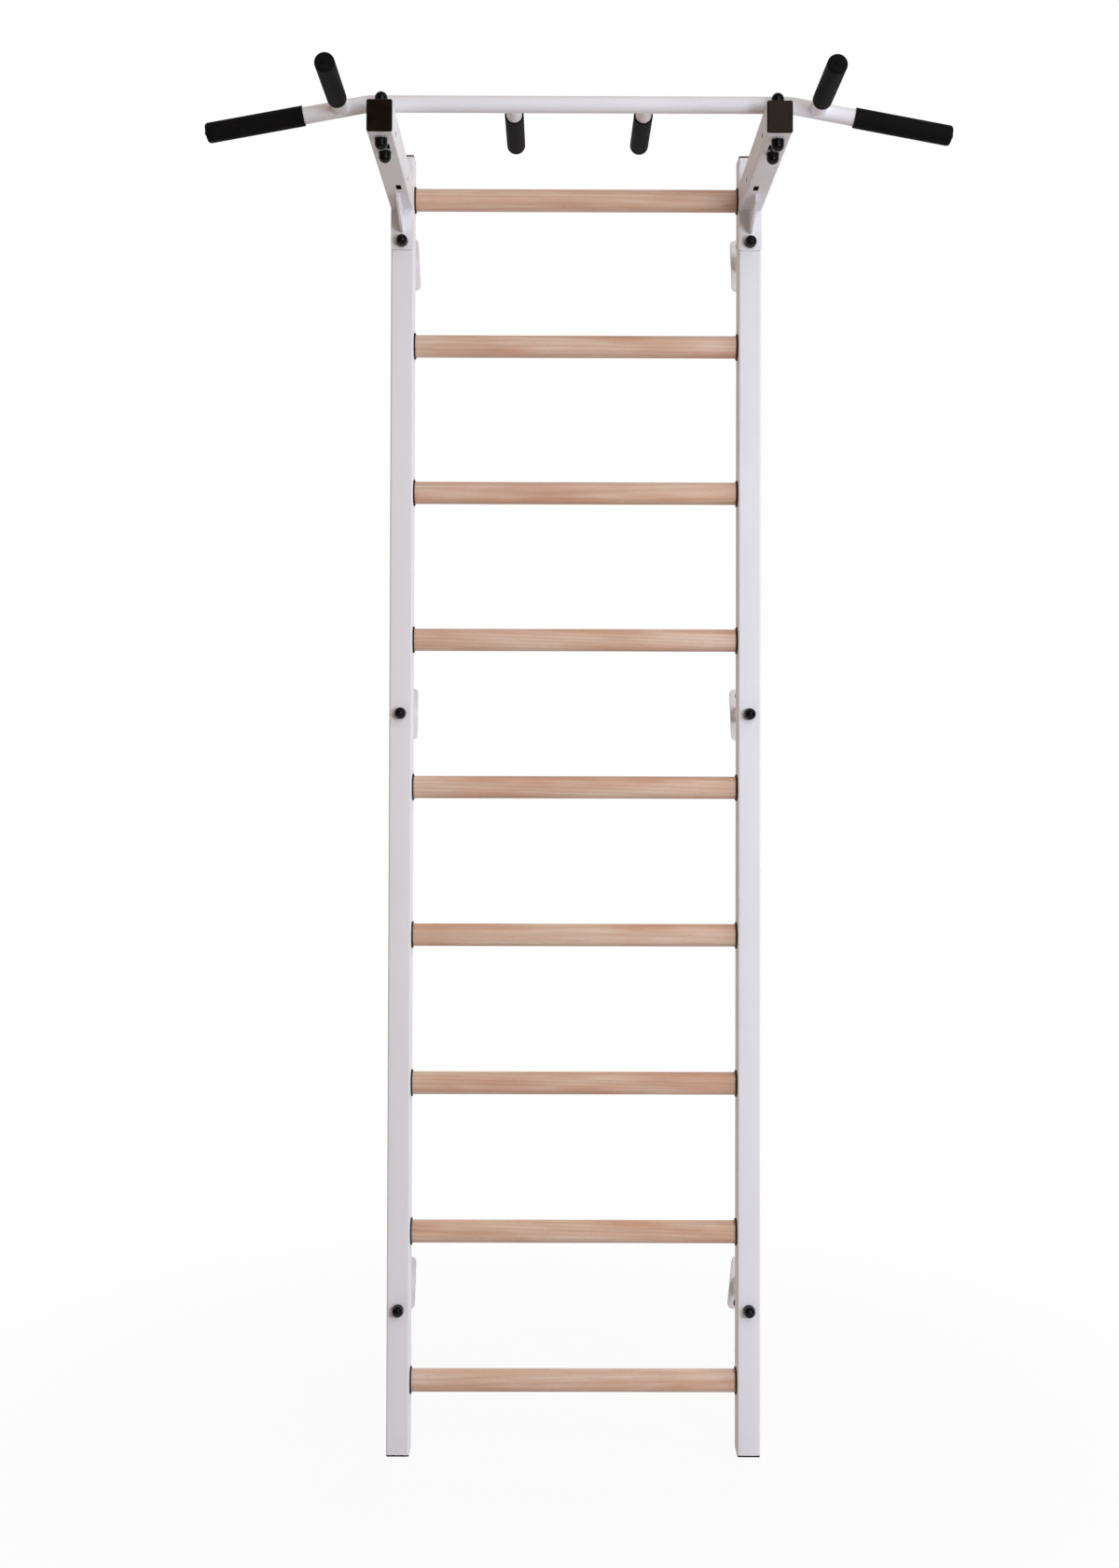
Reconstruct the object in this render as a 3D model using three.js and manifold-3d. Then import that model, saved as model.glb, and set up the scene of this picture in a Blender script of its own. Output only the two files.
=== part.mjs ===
import * as THREE from "three";
import { mergeVertices } from "three/addons/utils/BufferGeometryUtils.js";
import Module from "manifold-3d";

// Wall bars: nine oval wooden rungs between two steel uprights, with a pull-up bar on two arms.
// Millimetres. +Z is up, the wall is the plane y = 0, the floor is z = 0 and the front looks to -Y.

// Uprights and arms, cut from one size of steel tube
const TUBE_WIDTH = 40; // across the front
const TUBE_DEPTH = 50; // front to back of an upright, height of an arm
const TUBE_WALL = 2;
const TUBE_CORNER = 3; // outer corner radius
const OUTER_WIDTH = 658; // over the outer faces of the two uprights
const WALL_GAP = 110; // wall to the back of the uprights
const TOP_MARGIN = 74; // axis of the top rung to the top of the uprights

// Plastic plugs in the tube ends
const CAP_HEAD = 3; // thickness outside the tube
const CAP_SKIRT = 15; // length inside the tube
const CAP_CORNER = 1.5; // corner radius of the skirt

// Rungs
const RUNG_COUNT = 9;
const RUNG_PITCH = 262.5;
const FIRST_RUNG = 126; // floor to the axis of the lowest rung
const RUNG_HEIGHT = 40;
const RUNG_DEPTH = 30;
const RUNG_END_GAP = 2; // end of a rung to the far wall inside its upright

// Collars round the rung ends
const COLLAR_WALL = 2; // sleeve wall
const COLLAR_LIP = 1.5; // how far the flange stands out over the sleeve
const COLLAR_FLANGE = 2.6; // flange thickness
const COLLAR_SLEEVE = 16; // flange to the sleeve's inner end

// Bolts with dome caps
const BOLT_D = 10;
const WASHER_D = 20;
const WASHER_THICK = 2;
const DOME_D = 21;
const DOME_SKIRT = 8; // straight part under the round top
const BOLT_END = 6; // bolt beyond the threaded end of a bracket

// Wall brackets
const PLATE_WIDTH = 38;
const PLATE_HEIGHT = 95;
const PLATE_THICK = 5;
const PLATE_CORNER = 9;
const SCREW_PITCH = 70; // between the two wall screws of a bracket
const SCREW_D = 10;
const SINK_D = 18; // countersink at the plate's front
const STANDOFF_D = 27;
const STANDOFF_WALL = 3;
const THREAD_LENGTH = 12; // threaded end that takes the wall bolt
const LOW_GAP = 1; // the gap between rungs, counted from the floor, with the lower brackets
const MIDDLE_GAP = 5; // the same for the middle brackets
const BRACKET_TILT = {
  bottom_left: -1.6, // degrees, positive where the lower end swings to +X
  bottom_right: -5.4,
  middle_left: -0.7,
  middle_right: 2.6,
  top_left: 3.4,
  top_right: 2.5,
};

// Arms of the pull-up bar
const ARM_TIP = 62; // the bar's axis to the front of an arm's plug
const ARM_BELOW_RUNG = 26; // axis of the top rung down to the underside of an arm
const BASE_THICK = 5; // plate on the upright's front
const BASE_CORNER = 5;
const BASE_EDGE = 14; // axis of the lower bolt to the lower edge of the plate
const BASE_COVER = 6; // plate above the hook's slot
const GUSSET_THICK = 4;
const GUSSET_LENGTH = 103; // along the arm
const GUSSET_DROP = 40; // along the plate
const GUSSET_TIP = 13; // height of the gusset's outer end
const GUSSET_CLIP = 7; // inner corner cut off, clear of the tube's weld
const GUSSET_BOLT_GAP = 6; // gusset to the washer under it
const GUSSET_HOLES = 3;
const GUSSET_HOLE_D = 8;
const GUSSET_HOLE_PITCH = 32;
const GUSSET_FIRST_HOLE = 13; // plate to the axis of the first hole
const GUSSET_HOLE_DROP = 13; // arm to the axes of the holes
const HOOK_THICK = 6;
const HOOK_RISE = 6; // top of the arm to the hook's neck
const HOOK_NECK = 12; // height of the neck
const HOOK_DROP = 10; // lip below the neck
const HOOK_LIP = 4; // thickness of the lip
const SLOT_WIDTH = 9; // strap slots in an arm's underside
const SLOT_LENGTH = 24;
const SLOT_INSET = 5; // slot axis to the arm's middle, towards the other arm
const REAR_SLOT = 139; // front of the upright to the rear slot's middle
const FRONT_SLOT_BACK = 11; // the bar's axis back to the front slot's middle
const PEG_D = 9; // peg holes in an arm's inner side
const PEG_HEIGHT = 17; // above the arm's underside
const REAR_PEG = 130; // front of the upright to the rear peg hole
const FRONT_PEG_BACK = 4; // the bar's axis back to the front peg hole

// Pull-up bar
const BAR_D = 26;
const BAR_WALL = 2.5;
const BAR_REACH = 366; // front of the uprights to the bar's axis
const BAR_SPAN = 662; // between the corners of the two bends
const BEND_RADIUS = 80;
const WING_ANGLE = 10.6; // degrees below level
const WING_LENGTH = 257; // corner of the bend to the end of the tube
const FOOT_WIDTH = 36; // welded foot plates on the arms
const FOOT_THICK = 3;
const FOOT_EDGE = 15; // bolt axis to the foot plate's end
const CLAMP_PITCH = 64; // between the two clamp bolts of an arm
const HANDLE_D = 25;
const HANDLE_WALL = 2.5;
const HANDLE_LENGTH = 201; // bar axis to the end of a handle's tube
const FRONT_HANDLE_X = 376; // middle of the bar to a front handle
const BACK_HANDLE_X = 103.5;

// Grips
const GRIP_LENGTH = 156;
const GRIP_WALL = 2.5;
const GRIP_END = 3; // thickness of the closed end
const GRIP_ROUND = 5; // radius round the closed end

// Fits
const TOUCH = 0.3; // between pieces that rest on each other
const SLIP = 0.3; // round a piece that slides into another
const HOLE_SLACK = 0.5; // round a bolt in its hole
const WELD = 1; // how far welded pieces run into each other

// Facets
const CORNER_STEPS = 2; // on each rounded corner
const OVAL_STEPS = 6; // on each half round of an oval
const BOLT_SIDES = 12;
const TUBE_SIDES = 16;
const BEND_STEPS = 4;
const DOME_STEPS = 4;

// Worked out from the sizes above
const UPRIGHT_X = (OUTER_WIDTH - TUBE_WIDTH) / 2;
const UPRIGHT_Y = -(WALL_GAP + TUBE_DEPTH / 2);
const FRONT_Y = -(WALL_GAP + TUBE_DEPTH);
const TOP_RUNG = FIRST_RUNG + (RUNG_COUNT - 1) * RUNG_PITCH;
const HEIGHT = TOP_RUNG + TOP_MARGIN;
const ARM_Z = TOP_RUNG - ARM_BELOW_RUNG; // underside of the arms
const ARM_REACH = BAR_REACH + ARM_TIP; // front of the uprights to the front of an arm's plug
const FRONT_SLOT = BAR_REACH - FRONT_SLOT_BACK;
const FRONT_PEG = BAR_REACH - FRONT_PEG_BACK;
const BASE_BOLT = -(GUSSET_DROP + GUSSET_BOLT_GAP + WASHER_D / 2); // from the arm's underside
const HOOK_Z = TUBE_DEPTH + HOOK_RISE; // from the arm's underside
const SLOT_TOP = HOOK_Z + HOOK_NECK + HOOK_DROP + SLIP; // top of the hook's slot
const HOLE_R = BOLT_D / 2 + HOLE_SLACK;
const INNER_WIDTH = TUBE_WIDTH - 2 * TUBE_WALL;
const INNER_DEPTH = TUBE_DEPTH - 2 * TUBE_WALL;
const FOOT_Z = TUBE_DEPTH + TOUCH; // underside of the bar and its feet, from the arm's underside
const SIDES = { left: -1, right: 1 };
const BRACKET_ROWS = {
  bottom: FIRST_RUNG + (LOW_GAP - 0.5) * RUNG_PITCH,
  middle: FIRST_RUNG + (MIDDLE_GAP - 0.5) * RUNG_PITCH,
  top: ARM_Z + BASE_BOLT,
};

const wasm = await Module();
wasm.setup();

const X = new THREE.Vector3(1, 0, 0);
const Y = new THREE.Vector3(0, 1, 0);
const Z = new THREE.Vector3(0, 0, 1);
const FRONT = Y.clone().negate();
const SIDEWAYS = new THREE.Matrix4().makeBasis(Y, Z, X); // outline in the y-z plane, pulled along +X
const FORWARD = new THREE.Matrix4().makeBasis(X, Z, FRONT); // outline in the x-z plane, pulled to the front

const paint = new THREE.MeshStandardMaterial({ color: "#e6e5e8", roughness: 0.35, metalness: 0 });
const beech = new THREE.MeshStandardMaterial({ color: "#c9a68f", roughness: 0.5, metalness: 0 });
const plastic = new THREE.MeshStandardMaterial({ color: "#171412", roughness: 0.4, metalness: 0 });
const foam = new THREE.MeshStandardMaterial({ color: "#1b1a1b", roughness: 0.9, metalness: 0 });

// Solids

function solid(geometry) {
  const bare = geometry.clone();
  bare.deleteAttribute("normal");
  bare.deleteAttribute("uv");
  const merged = mergeVertices(bare, 1e-4);
  const corners = merged.index.array;
  const kept = [];
  for (let i = 0; i < corners.length; i += 3) {
    const [a, b, c] = corners.slice(i, i + 3);
    if (a !== b && b !== c && c !== a) kept.push(a, b, c);
  }
  const vertProperties = new Float32Array(merged.attributes.position.array);
  const triVerts = new Uint32Array(kept);
  return new wasm.Manifold(new wasm.Mesh({ numProp: 3, vertProperties, triVerts }));
}

function geometryOf(piece) {
  const made = piece.getMesh();
  const geometry = new THREE.BufferGeometry();
  geometry.setAttribute("position", new THREE.BufferAttribute(made.vertProperties, 3));
  geometry.setIndex(new THREE.BufferAttribute(made.triVerts, 1));
  geometry.computeVertexNormals();
  return geometry;
}

function named(name, piece, material) {
  const mesh = new THREE.Mesh(geometryOf(piece), material);
  mesh.name = name;
  return mesh;
}

function pulled(shape, length, basis, steps) {
  const geometry = new THREE.ExtrudeGeometry(shape, {
    depth: length,
    bevelEnabled: false,
    curveSegments: steps / 2,
  });
  if (basis) geometry.applyMatrix4(basis);
  return geometry;
}

function block(width, depth, height, x, y, z) {
  return solid(new THREE.BoxGeometry(width, depth, height).translate(x, y, z));
}

// A round rod or cutter between two points on an axis
function rod(radius, from, to, axis, sides) {
  const geometry = new THREE.CylinderGeometry(radius, radius, to - from, sides);
  geometry.translate(0, (from + to) / 2, 0);
  geometry.applyQuaternion(new THREE.Quaternion().setFromUnitVectors(Y, axis));
  return geometry;
}

// A turned piece: the profile holds [radius, height] pairs from the bottom up
function turned(profile, sides) {
  const points = profile.map(([radius, height]) => new THREE.Vector2(radius, height));
  return solid(new THREE.LatheGeometry(points, sides));
}

function along(axis) {
  return new THREE.Quaternion().setFromUnitVectors(Y, axis);
}

// Outlines

function roundedRectangle(width, height, radius) {
  const x = width / 2 - radius;
  const y = height / 2 - radius;
  const shape = new THREE.Shape();
  shape.absarc(x, y, radius, 0, Math.PI / 2);
  shape.absarc(-x, y, radius, Math.PI / 2, Math.PI);
  shape.absarc(-x, -y, radius, Math.PI, 1.5 * Math.PI);
  shape.absarc(x, -y, radius, 1.5 * Math.PI, 2 * Math.PI);
  return shape;
}

function oval(grow) {
  const radius = RUNG_DEPTH / 2 + grow;
  const half = (RUNG_HEIGHT - RUNG_DEPTH) / 2;
  const shape = new THREE.Shape();
  shape.absarc(0, half, radius, 0, Math.PI);
  shape.absarc(0, -half, radius, Math.PI, 2 * Math.PI);
  return shape;
}

function tubeSection(width, height) {
  const shape = roundedRectangle(width, height, TUBE_CORNER);
  const inside = Math.max(TUBE_CORNER - TUBE_WALL, 0.5);
  shape.holes.push(roundedRectangle(width - 2 * TUBE_WALL, height - 2 * TUBE_WALL, inside));
  return shape;
}

// Uprights and plugs

function upright(side) {
  const length = HEIGHT - 2 * (CAP_HEAD + TOUCH);
  const tube = pulled(tubeSection(TUBE_WIDTH, TUBE_DEPTH), length, null, CORNER_STEPS);
  tube.translate(0, 0, CAP_HEAD + TOUCH);
  let piece = solid(tube);
  const innerFace = (-side * TUBE_WIDTH) / 2;
  for (let rung = 0; rung < RUNG_COUNT; rung++) {
    const cut = pulled(oval(2 * SLIP + COLLAR_WALL), 3 * TUBE_WALL, SIDEWAYS, OVAL_STEPS);
    cut.translate(innerFace - 1.5 * TUBE_WALL, 0, FIRST_RUNG + rung * RUNG_PITCH);
    piece = piece.subtract(solid(cut));
  }
  for (const height of Object.values(BRACKET_ROWS)) {
    const hole = rod(HOLE_R, -TUBE_DEPTH, TUBE_DEPTH, Y, BOLT_SIDES);
    piece = piece.subtract(solid(hole.translate(0, 0, height)));
  }
  const slotLow = HOOK_Z - SLIP;
  const slotMiddle = ARM_Z + (slotLow + SLOT_TOP) / 2;
  const slotWidth = HOOK_THICK + 2 * SLIP;
  const slot = block(slotWidth, 3 * TUBE_WALL, SLOT_TOP - slotLow, 0, -TUBE_DEPTH / 2, slotMiddle);
  return piece.subtract(slot);
}

// Plug with its head below z = 0 and its skirt above
function plug() {
  const head = pulled(roundedRectangle(TUBE_WIDTH, TUBE_DEPTH, TUBE_CORNER), CAP_HEAD, null, CORNER_STEPS);
  const width = INNER_WIDTH - 2 * SLIP;
  const depth = INNER_DEPTH - 2 * SLIP;
  const skirt = pulled(roundedRectangle(width, depth, CAP_CORNER), CAP_SKIRT + WELD, null, CORNER_STEPS);
  head.translate(0, 0, -CAP_HEAD);
  skirt.translate(0, 0, -WELD);
  return solid(head).add(solid(skirt));
}

// Rungs and collars

function rung() {
  const length = OUTER_WIDTH - 2 * (TUBE_WALL + RUNG_END_GAP);
  const geometry = pulled(oval(0), length, SIDEWAYS, OVAL_STEPS);
  return solid(geometry.translate(-length / 2, 0, 0));
}

function ring(inner, outer, from, to) {
  const shape = oval(outer);
  shape.holes.push(oval(inner));
  return solid(pulled(shape, to - from, SIDEWAYS, OVAL_STEPS).translate(from, 0, 0));
}

// Collar with the back of its flange at x = 0 and its sleeve along +X
function collar() {
  const sleeve = SLIP + COLLAR_WALL;
  const flange = ring(SLIP, sleeve + COLLAR_LIP, -COLLAR_FLANGE, 0);
  return flange.add(ring(SLIP, sleeve, -COLLAR_FLANGE, COLLAR_SLEEVE));
}

// Bolts

// Profile of a dome cap that stands on a height, from its rim to its tip
function dome(base) {
  const points = [[DOME_D / 2, base]];
  for (let i = 0; i < DOME_STEPS; i++) {
    const turn = (i / DOME_STEPS) * (Math.PI / 2);
    const height = base + DOME_SKIRT + (DOME_D / 2) * Math.sin(turn);
    points.push([(DOME_D / 2) * Math.cos(turn), height]);
  }
  points.push([0, base + DOME_SKIRT + DOME_D / 2]);
  return points;
}

// Profile of a washer on height 0 with a dome cap on it
function washerAndDome() {
  return [[WASHER_D / 2, 0], [WASHER_D / 2, WASHER_THICK], ...dome(WASHER_THICK)];
}

// Bolt that runs down from a washer at height 0
function wallBolt(held) {
  const length = held + 2 * TOUCH + THREAD_LENGTH + BOLT_END;
  return turned([[0, -length], [BOLT_D / 2, -length], [BOLT_D / 2, 0], ...washerAndDome()], BOLT_SIDES);
}

// Bolt between two domes: the lower one hangs from height 0 and the upper one stands on what is held
function clampBolt(held) {
  const hanging = washerAndDome().map(([radius, height]) => [radius, -height]);
  return turned([...hanging.reverse(), [BOLT_D / 2, 0], [BOLT_D / 2, held], ...dome(held)], BOLT_SIDES);
}

// Wall brackets, with the bolt's axis at the origin and the wall at y = 0

function wallBracket() {
  const shape = roundedRectangle(PLATE_WIDTH, PLATE_HEIGHT, PLATE_CORNER);
  let piece = solid(pulled(shape, PLATE_THICK, FORWARD, CORNER_STEPS));
  const outer = STANDOFF_D / 2;
  const inner = outer - STANDOFF_WALL;
  const end = WALL_GAP - TOUCH;
  const thread = end - THREAD_LENGTH;
  const standoff = [
    [HOLE_R, end],
    [HOLE_R, thread],
    [inner, thread],
    [inner, PLATE_THICK - WELD],
    [outer, PLATE_THICK - WELD],
    [outer, end],
    [HOLE_R, end],
  ];
  const post = geometryOf(turned(standoff, TUBE_SIDES)).applyQuaternion(along(FRONT));
  piece = piece.add(solid(post));
  const sink = (SINK_D - SCREW_D) / 2;
  const cutter = [
    [0, -PLATE_THICK],
    [SCREW_D / 2, -PLATE_THICK],
    [SCREW_D / 2, PLATE_THICK - sink],
    [SINK_D / 2, PLATE_THICK],
    [SINK_D / 2, 2 * PLATE_THICK],
    [0, 2 * PLATE_THICK],
  ];
  for (const side of [-1, 1]) {
    const hole = geometryOf(turned(cutter, BOLT_SIDES)).applyQuaternion(along(FRONT));
    piece = piece.subtract(solid(hole.translate(0, 0, (side * SCREW_PITCH) / 2)));
  }
  return piece;
}

// Arms, with the upright's front at y = 0 and the underside of the tube at z = 0

function gusset() {
  const shape = new THREE.Shape();
  shape.moveTo(-GUSSET_CLIP, WELD);
  shape.lineTo(-GUSSET_LENGTH, WELD);
  shape.lineTo(-GUSSET_LENGTH, -GUSSET_TIP);
  shape.lineTo(-GUSSET_TIP, -GUSSET_DROP);
  shape.lineTo(WELD, -GUSSET_DROP);
  shape.lineTo(WELD, -GUSSET_CLIP);
  for (let i = 0; i < GUSSET_HOLES; i++) {
    const hole = new THREE.Path();
    const out = GUSSET_FIRST_HOLE + i * GUSSET_HOLE_PITCH;
    hole.absarc(-out, -GUSSET_HOLE_DROP, GUSSET_HOLE_D / 2, 0, 2 * Math.PI);
    shape.holes.push(hole);
  }
  const geometry = pulled(shape, GUSSET_THICK, SIDEWAYS, BOLT_SIDES);
  return solid(geometry.translate(-GUSSET_THICK / 2, -BASE_THICK, 0));
}

function hook() {
  const back = TUBE_WALL + 2 * TOUCH;
  const neck = BASE_THICK + back + HOOK_LIP;
  const neckMiddle = -BASE_THICK + neck / 2;
  const lipHeight = HOOK_NECK + HOOK_DROP;
  const lipMiddle = HOOK_Z + HOOK_NECK - lipHeight / 2;
  return block(HOOK_THICK, neck, HOOK_NECK, 0, neckMiddle, HOOK_Z + HOOK_NECK / 2).add(
    block(HOOK_THICK, HOOK_LIP, lipHeight, 0, back + HOOK_LIP / 2, lipMiddle),
  );
}

function basePlate() {
  const low = BASE_BOLT - BASE_EDGE;
  const high = SLOT_TOP + BASE_COVER;
  const shape = roundedRectangle(TUBE_WIDTH, high - low, BASE_CORNER);
  const geometry = pulled(shape, BASE_THICK - TOUCH, FORWARD, CORNER_STEPS);
  return solid(geometry.translate(0, -TOUCH, (high + low) / 2));
}

function arm(side) {
  const start = BASE_THICK - WELD;
  const length = ARM_REACH - CAP_HEAD - TOUCH - start;
  const tube = pulled(tubeSection(TUBE_WIDTH, TUBE_DEPTH), length, FORWARD, CORNER_STEPS);
  tube.translate(0, -start, TUBE_DEPTH / 2);
  let piece = basePlate().add(solid(tube)).add(gusset()).add(hook());
  const boltHole = rod(HOLE_R, -2 * BASE_THICK, 2 * BASE_THICK, Y, BOLT_SIDES).translate(0, 0, BASE_BOLT);
  piece = piece.subtract(solid(boltHole));
  for (const step of [-1, 1]) {
    const out = BAR_REACH + (step * CLAMP_PITCH) / 2;
    const hole = rod(HOLE_R, -TUBE_DEPTH, 2 * TUBE_DEPTH, Z, BOLT_SIDES).translate(0, -out, 0);
    piece = piece.subtract(solid(hole));
  }
  for (const out of [REAR_SLOT, FRONT_SLOT]) {
    const slot = block(SLOT_WIDTH, SLOT_LENGTH, 4 * TUBE_WALL, -side * SLOT_INSET, -out, 0);
    piece = piece.subtract(slot);
  }
  for (const out of [REAR_PEG, FRONT_PEG]) {
    const peg = rod(PEG_D / 2, -2 * TUBE_WALL, 2 * TUBE_WALL, X, BOLT_SIDES);
    peg.translate((-side * TUBE_WIDTH) / 2, -out, PEG_HEIGHT);
    piece = piece.subtract(solid(peg));
  }
  return piece;
}

// Pull-up bar, with its axis at the origin between the arms

// Stations along the bar's axis from the left end to the right end: place and slope
function barStations(reach) {
  const turn = THREE.MathUtils.degToRad(WING_ANGLE);
  const tangent = BEND_RADIUS * Math.tan(turn / 2);
  const start = BAR_SPAN / 2 - tangent;
  const half = [];
  for (let i = 0; i <= BEND_STEPS; i++) {
    const angle = (turn * i) / BEND_STEPS;
    const x = start + BEND_RADIUS * Math.sin(angle);
    const z = -BEND_RADIUS * (1 - Math.cos(angle));
    half.push({ x, z, slope: -angle });
  }
  const last = half[BEND_STEPS];
  const wing = reach - tangent;
  half.push({ x: last.x + wing * Math.cos(turn), z: last.z - wing * Math.sin(turn), slope: -turn });
  const mirrored = half.map(({ x, z, slope }) => ({ x: -x, z, slope: -slope })).reverse();
  return [...mirrored, ...half];
}

function swept(stations, radius) {
  const places = [];
  const corners = [];
  for (const { x, z, slope } of stations) {
    for (let i = 0; i < TUBE_SIDES; i++) {
      const turn = (2 * Math.PI * i) / TUBE_SIDES;
      const up = radius * Math.cos(turn);
      places.push(x - up * Math.sin(slope), radius * Math.sin(turn), z + up * Math.cos(slope));
    }
  }
  const last = (stations.length - 1) * TUBE_SIDES;
  for (let i = 0; i < TUBE_SIDES; i++) {
    const next = (i + 1) % TUBE_SIDES;
    for (let row = 0; row < last; row += TUBE_SIDES) {
      corners.push(row + i, row + TUBE_SIDES + i, row + next);
      corners.push(row + next, row + TUBE_SIDES + i, row + TUBE_SIDES + next);
    }
    if (i > 0 && next > 0) {
      corners.push(0, i, next);
      corners.push(last, last + next, last + i);
    }
  }
  const geometry = new THREE.BufferGeometry();
  geometry.setAttribute("position", new THREE.Float32BufferAttribute(places, 3));
  geometry.setIndex(corners);
  return solid(geometry);
}

function wingDirection(side) {
  const turn = THREE.MathUtils.degToRad(WING_ANGLE);
  return new THREE.Vector3(side * Math.cos(turn), 0, -Math.sin(turn));
}

// Where the axis of each handle leaves the bar, and the way it points
function handles() {
  const drop = (FRONT_HANDLE_X - BAR_SPAN / 2) * Math.tan(THREE.MathUtils.degToRad(WING_ANGLE));
  const list = [];
  for (const [name, side] of Object.entries(SIDES)) {
    const front = new THREE.Vector3(side * FRONT_HANDLE_X, 0, -drop);
    const back = new THREE.Vector3(side * BACK_HANDLE_X, 0, 0);
    list.push({ name: name + "_front_grip", root: front, axis: FRONT });
    list.push({ name: name + "_back_grip", root: back, axis: Y });
  }
  return list;
}

function pullUpBar() {
  let piece = swept(barStations(WING_LENGTH), BAR_D / 2);
  for (const { root, axis } of handles()) {
    const tube = rod(HANDLE_D / 2, 0, HANDLE_LENGTH, axis, TUBE_SIDES);
    piece = piece.add(solid(tube.translate(root.x, root.y, root.z)));
  }
  const footLength = CLAMP_PITCH + 2 * FOOT_EDGE;
  for (const side of Object.values(SIDES)) {
    const middle = (FOOT_THICK - BAR_D) / 2;
    piece = piece.add(block(FOOT_WIDTH, footLength, FOOT_THICK, side * UPRIGHT_X, 0, middle));
    for (const step of [-1, 1]) {
      const hole = rod(HOLE_R, -BAR_D, BAR_D, Z, BOLT_SIDES);
      piece = piece.subtract(solid(hole.translate(side * UPRIGHT_X, (step * CLAMP_PITCH) / 2, 0)));
    }
  }
  piece = piece.subtract(swept(barStations(WING_LENGTH + BAR_D), BAR_D / 2 - BAR_WALL));
  for (const { root, axis } of handles()) {
    const bore = rod(HANDLE_D / 2 - HANDLE_WALL, BAR_D / 2, HANDLE_LENGTH + BAR_D, axis, TUBE_SIDES);
    piece = piece.subtract(solid(bore.translate(root.x, root.y, root.z)));
  }
  return piece;
}

// Foam sleeve on a tube that ends at height 0, closed above it
function grip(tubeDiameter) {
  const inner = tubeDiameter / 2 + SLIP;
  const outer = inner + GRIP_WALL;
  const tip = TOUCH + GRIP_END;
  const base = tip - GRIP_LENGTH;
  const profile = [[0, TOUCH], [inner, TOUCH], [inner, base], [outer, base]];
  for (let i = 0; i <= CORNER_STEPS; i++) {
    const turn = (i / CORNER_STEPS) * (Math.PI / 2);
    const radius = outer - GRIP_ROUND * (1 - Math.cos(turn));
    profile.push([radius, tip - GRIP_ROUND * (1 - Math.sin(turn))]);
  }
  profile.push([0, tip]);
  return turned(profile, TUBE_SIDES);
}

// Assembly

const wallBars = new THREE.Group();
wallBars.name = "wall_bars";

function place(group, mesh, x, y, z) {
  mesh.position.set(x, y, z);
  group.add(mesh);
  return mesh;
}

for (let i = 0; i < RUNG_COUNT; i++) {
  place(wallBars, named(`rung_${i + 1}`, rung(), beech), 0, UPRIGHT_Y, FIRST_RUNG + i * RUNG_PITCH);
}

for (const [name, side] of Object.entries(SIDES)) {
  const frame = new THREE.Group();
  frame.position.set(side * UPRIGHT_X, UPRIGHT_Y, 0);
  wallBars.add(frame);
  place(frame, named(`${name}_upright`, upright(side), paint), 0, 0, 0);
  place(frame, named(`${name}_foot_cap`, plug(), plastic), 0, 0, CAP_HEAD);
  const topCap = place(frame, named(`${name}_top_cap`, plug(), plastic), 0, 0, HEIGHT - CAP_HEAD);
  topCap.rotation.x = Math.PI;
  const seat = -side * (TUBE_WIDTH / 2 + TOUCH);
  for (let i = 0; i < RUNG_COUNT; i++) {
    const bush = named(`${name}_collar_${i + 1}`, collar(), plastic);
    place(frame, bush, seat, 0, FIRST_RUNG + i * RUNG_PITCH);
    bush.rotation.z = side > 0 ? 0 : Math.PI;
  }

  for (const [row, height] of Object.entries(BRACKET_ROWS)) {
    const where = `${row}_${name}`;
    const bracket = named(`wall_bracket_${where}`, wallBracket(), paint);
    place(wallBars, bracket, side * UPRIGHT_X, 0, height);
    bracket.rotation.y = -THREE.MathUtils.degToRad(BRACKET_TILT[where]);
    const plate = row === "top" ? BASE_THICK : 0;
    const bolt = named(`wall_bolt_${where}`, wallBolt(TUBE_DEPTH + plate), plastic);
    place(wallBars, bolt, side * UPRIGHT_X, FRONT_Y - plate - TOUCH, height);
    bolt.quaternion.copy(along(FRONT));
  }

  const armFrame = new THREE.Group();
  armFrame.position.set(side * UPRIGHT_X, FRONT_Y, ARM_Z);
  wallBars.add(armFrame);
  place(armFrame, named(`${name}_arm`, arm(side), paint), 0, 0, 0);
  const capY = CAP_HEAD - ARM_REACH;
  const armCap = place(armFrame, named(`${name}_arm_cap`, plug(), plastic), 0, capY, TUBE_DEPTH / 2);
  armCap.rotation.x = -Math.PI / 2;
  const held = FOOT_Z + FOOT_THICK + 2 * TOUCH;
  for (const [where, step] of [["front", 1], ["back", -1]]) {
    const bolt = named(`${name}_${where}_clamp_bolt`, clampBolt(held), plastic);
    place(armFrame, bolt, 0, -(BAR_REACH + (step * CLAMP_PITCH) / 2), -TOUCH);
    bolt.quaternion.copy(along(Z));
  }
}

const barFrame = new THREE.Group();
barFrame.position.set(0, FRONT_Y - BAR_REACH, ARM_Z + FOOT_Z + BAR_D / 2);
wallBars.add(barFrame);
place(barFrame, named("pull_up_bar", pullUpBar(), paint), 0, 0, 0);
for (const { name, root, axis } of handles()) {
  const end = root.clone().addScaledVector(axis, HANDLE_LENGTH);
  const sleeve = place(barFrame, named(name, grip(HANDLE_D), foam), end.x, end.y, end.z);
  sleeve.quaternion.copy(along(axis));
}
for (const [name, side] of Object.entries(SIDES)) {
  const axis = wingDirection(side);
  const end = new THREE.Vector3((side * BAR_SPAN) / 2, 0, 0).addScaledVector(axis, WING_LENGTH);
  const sleeve = place(barFrame, named(`${name}_wing_grip`, grip(BAR_D), foam), end.x, end.y, end.z);
  sleeve.quaternion.copy(along(axis));
}

export default wallBars;
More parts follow.
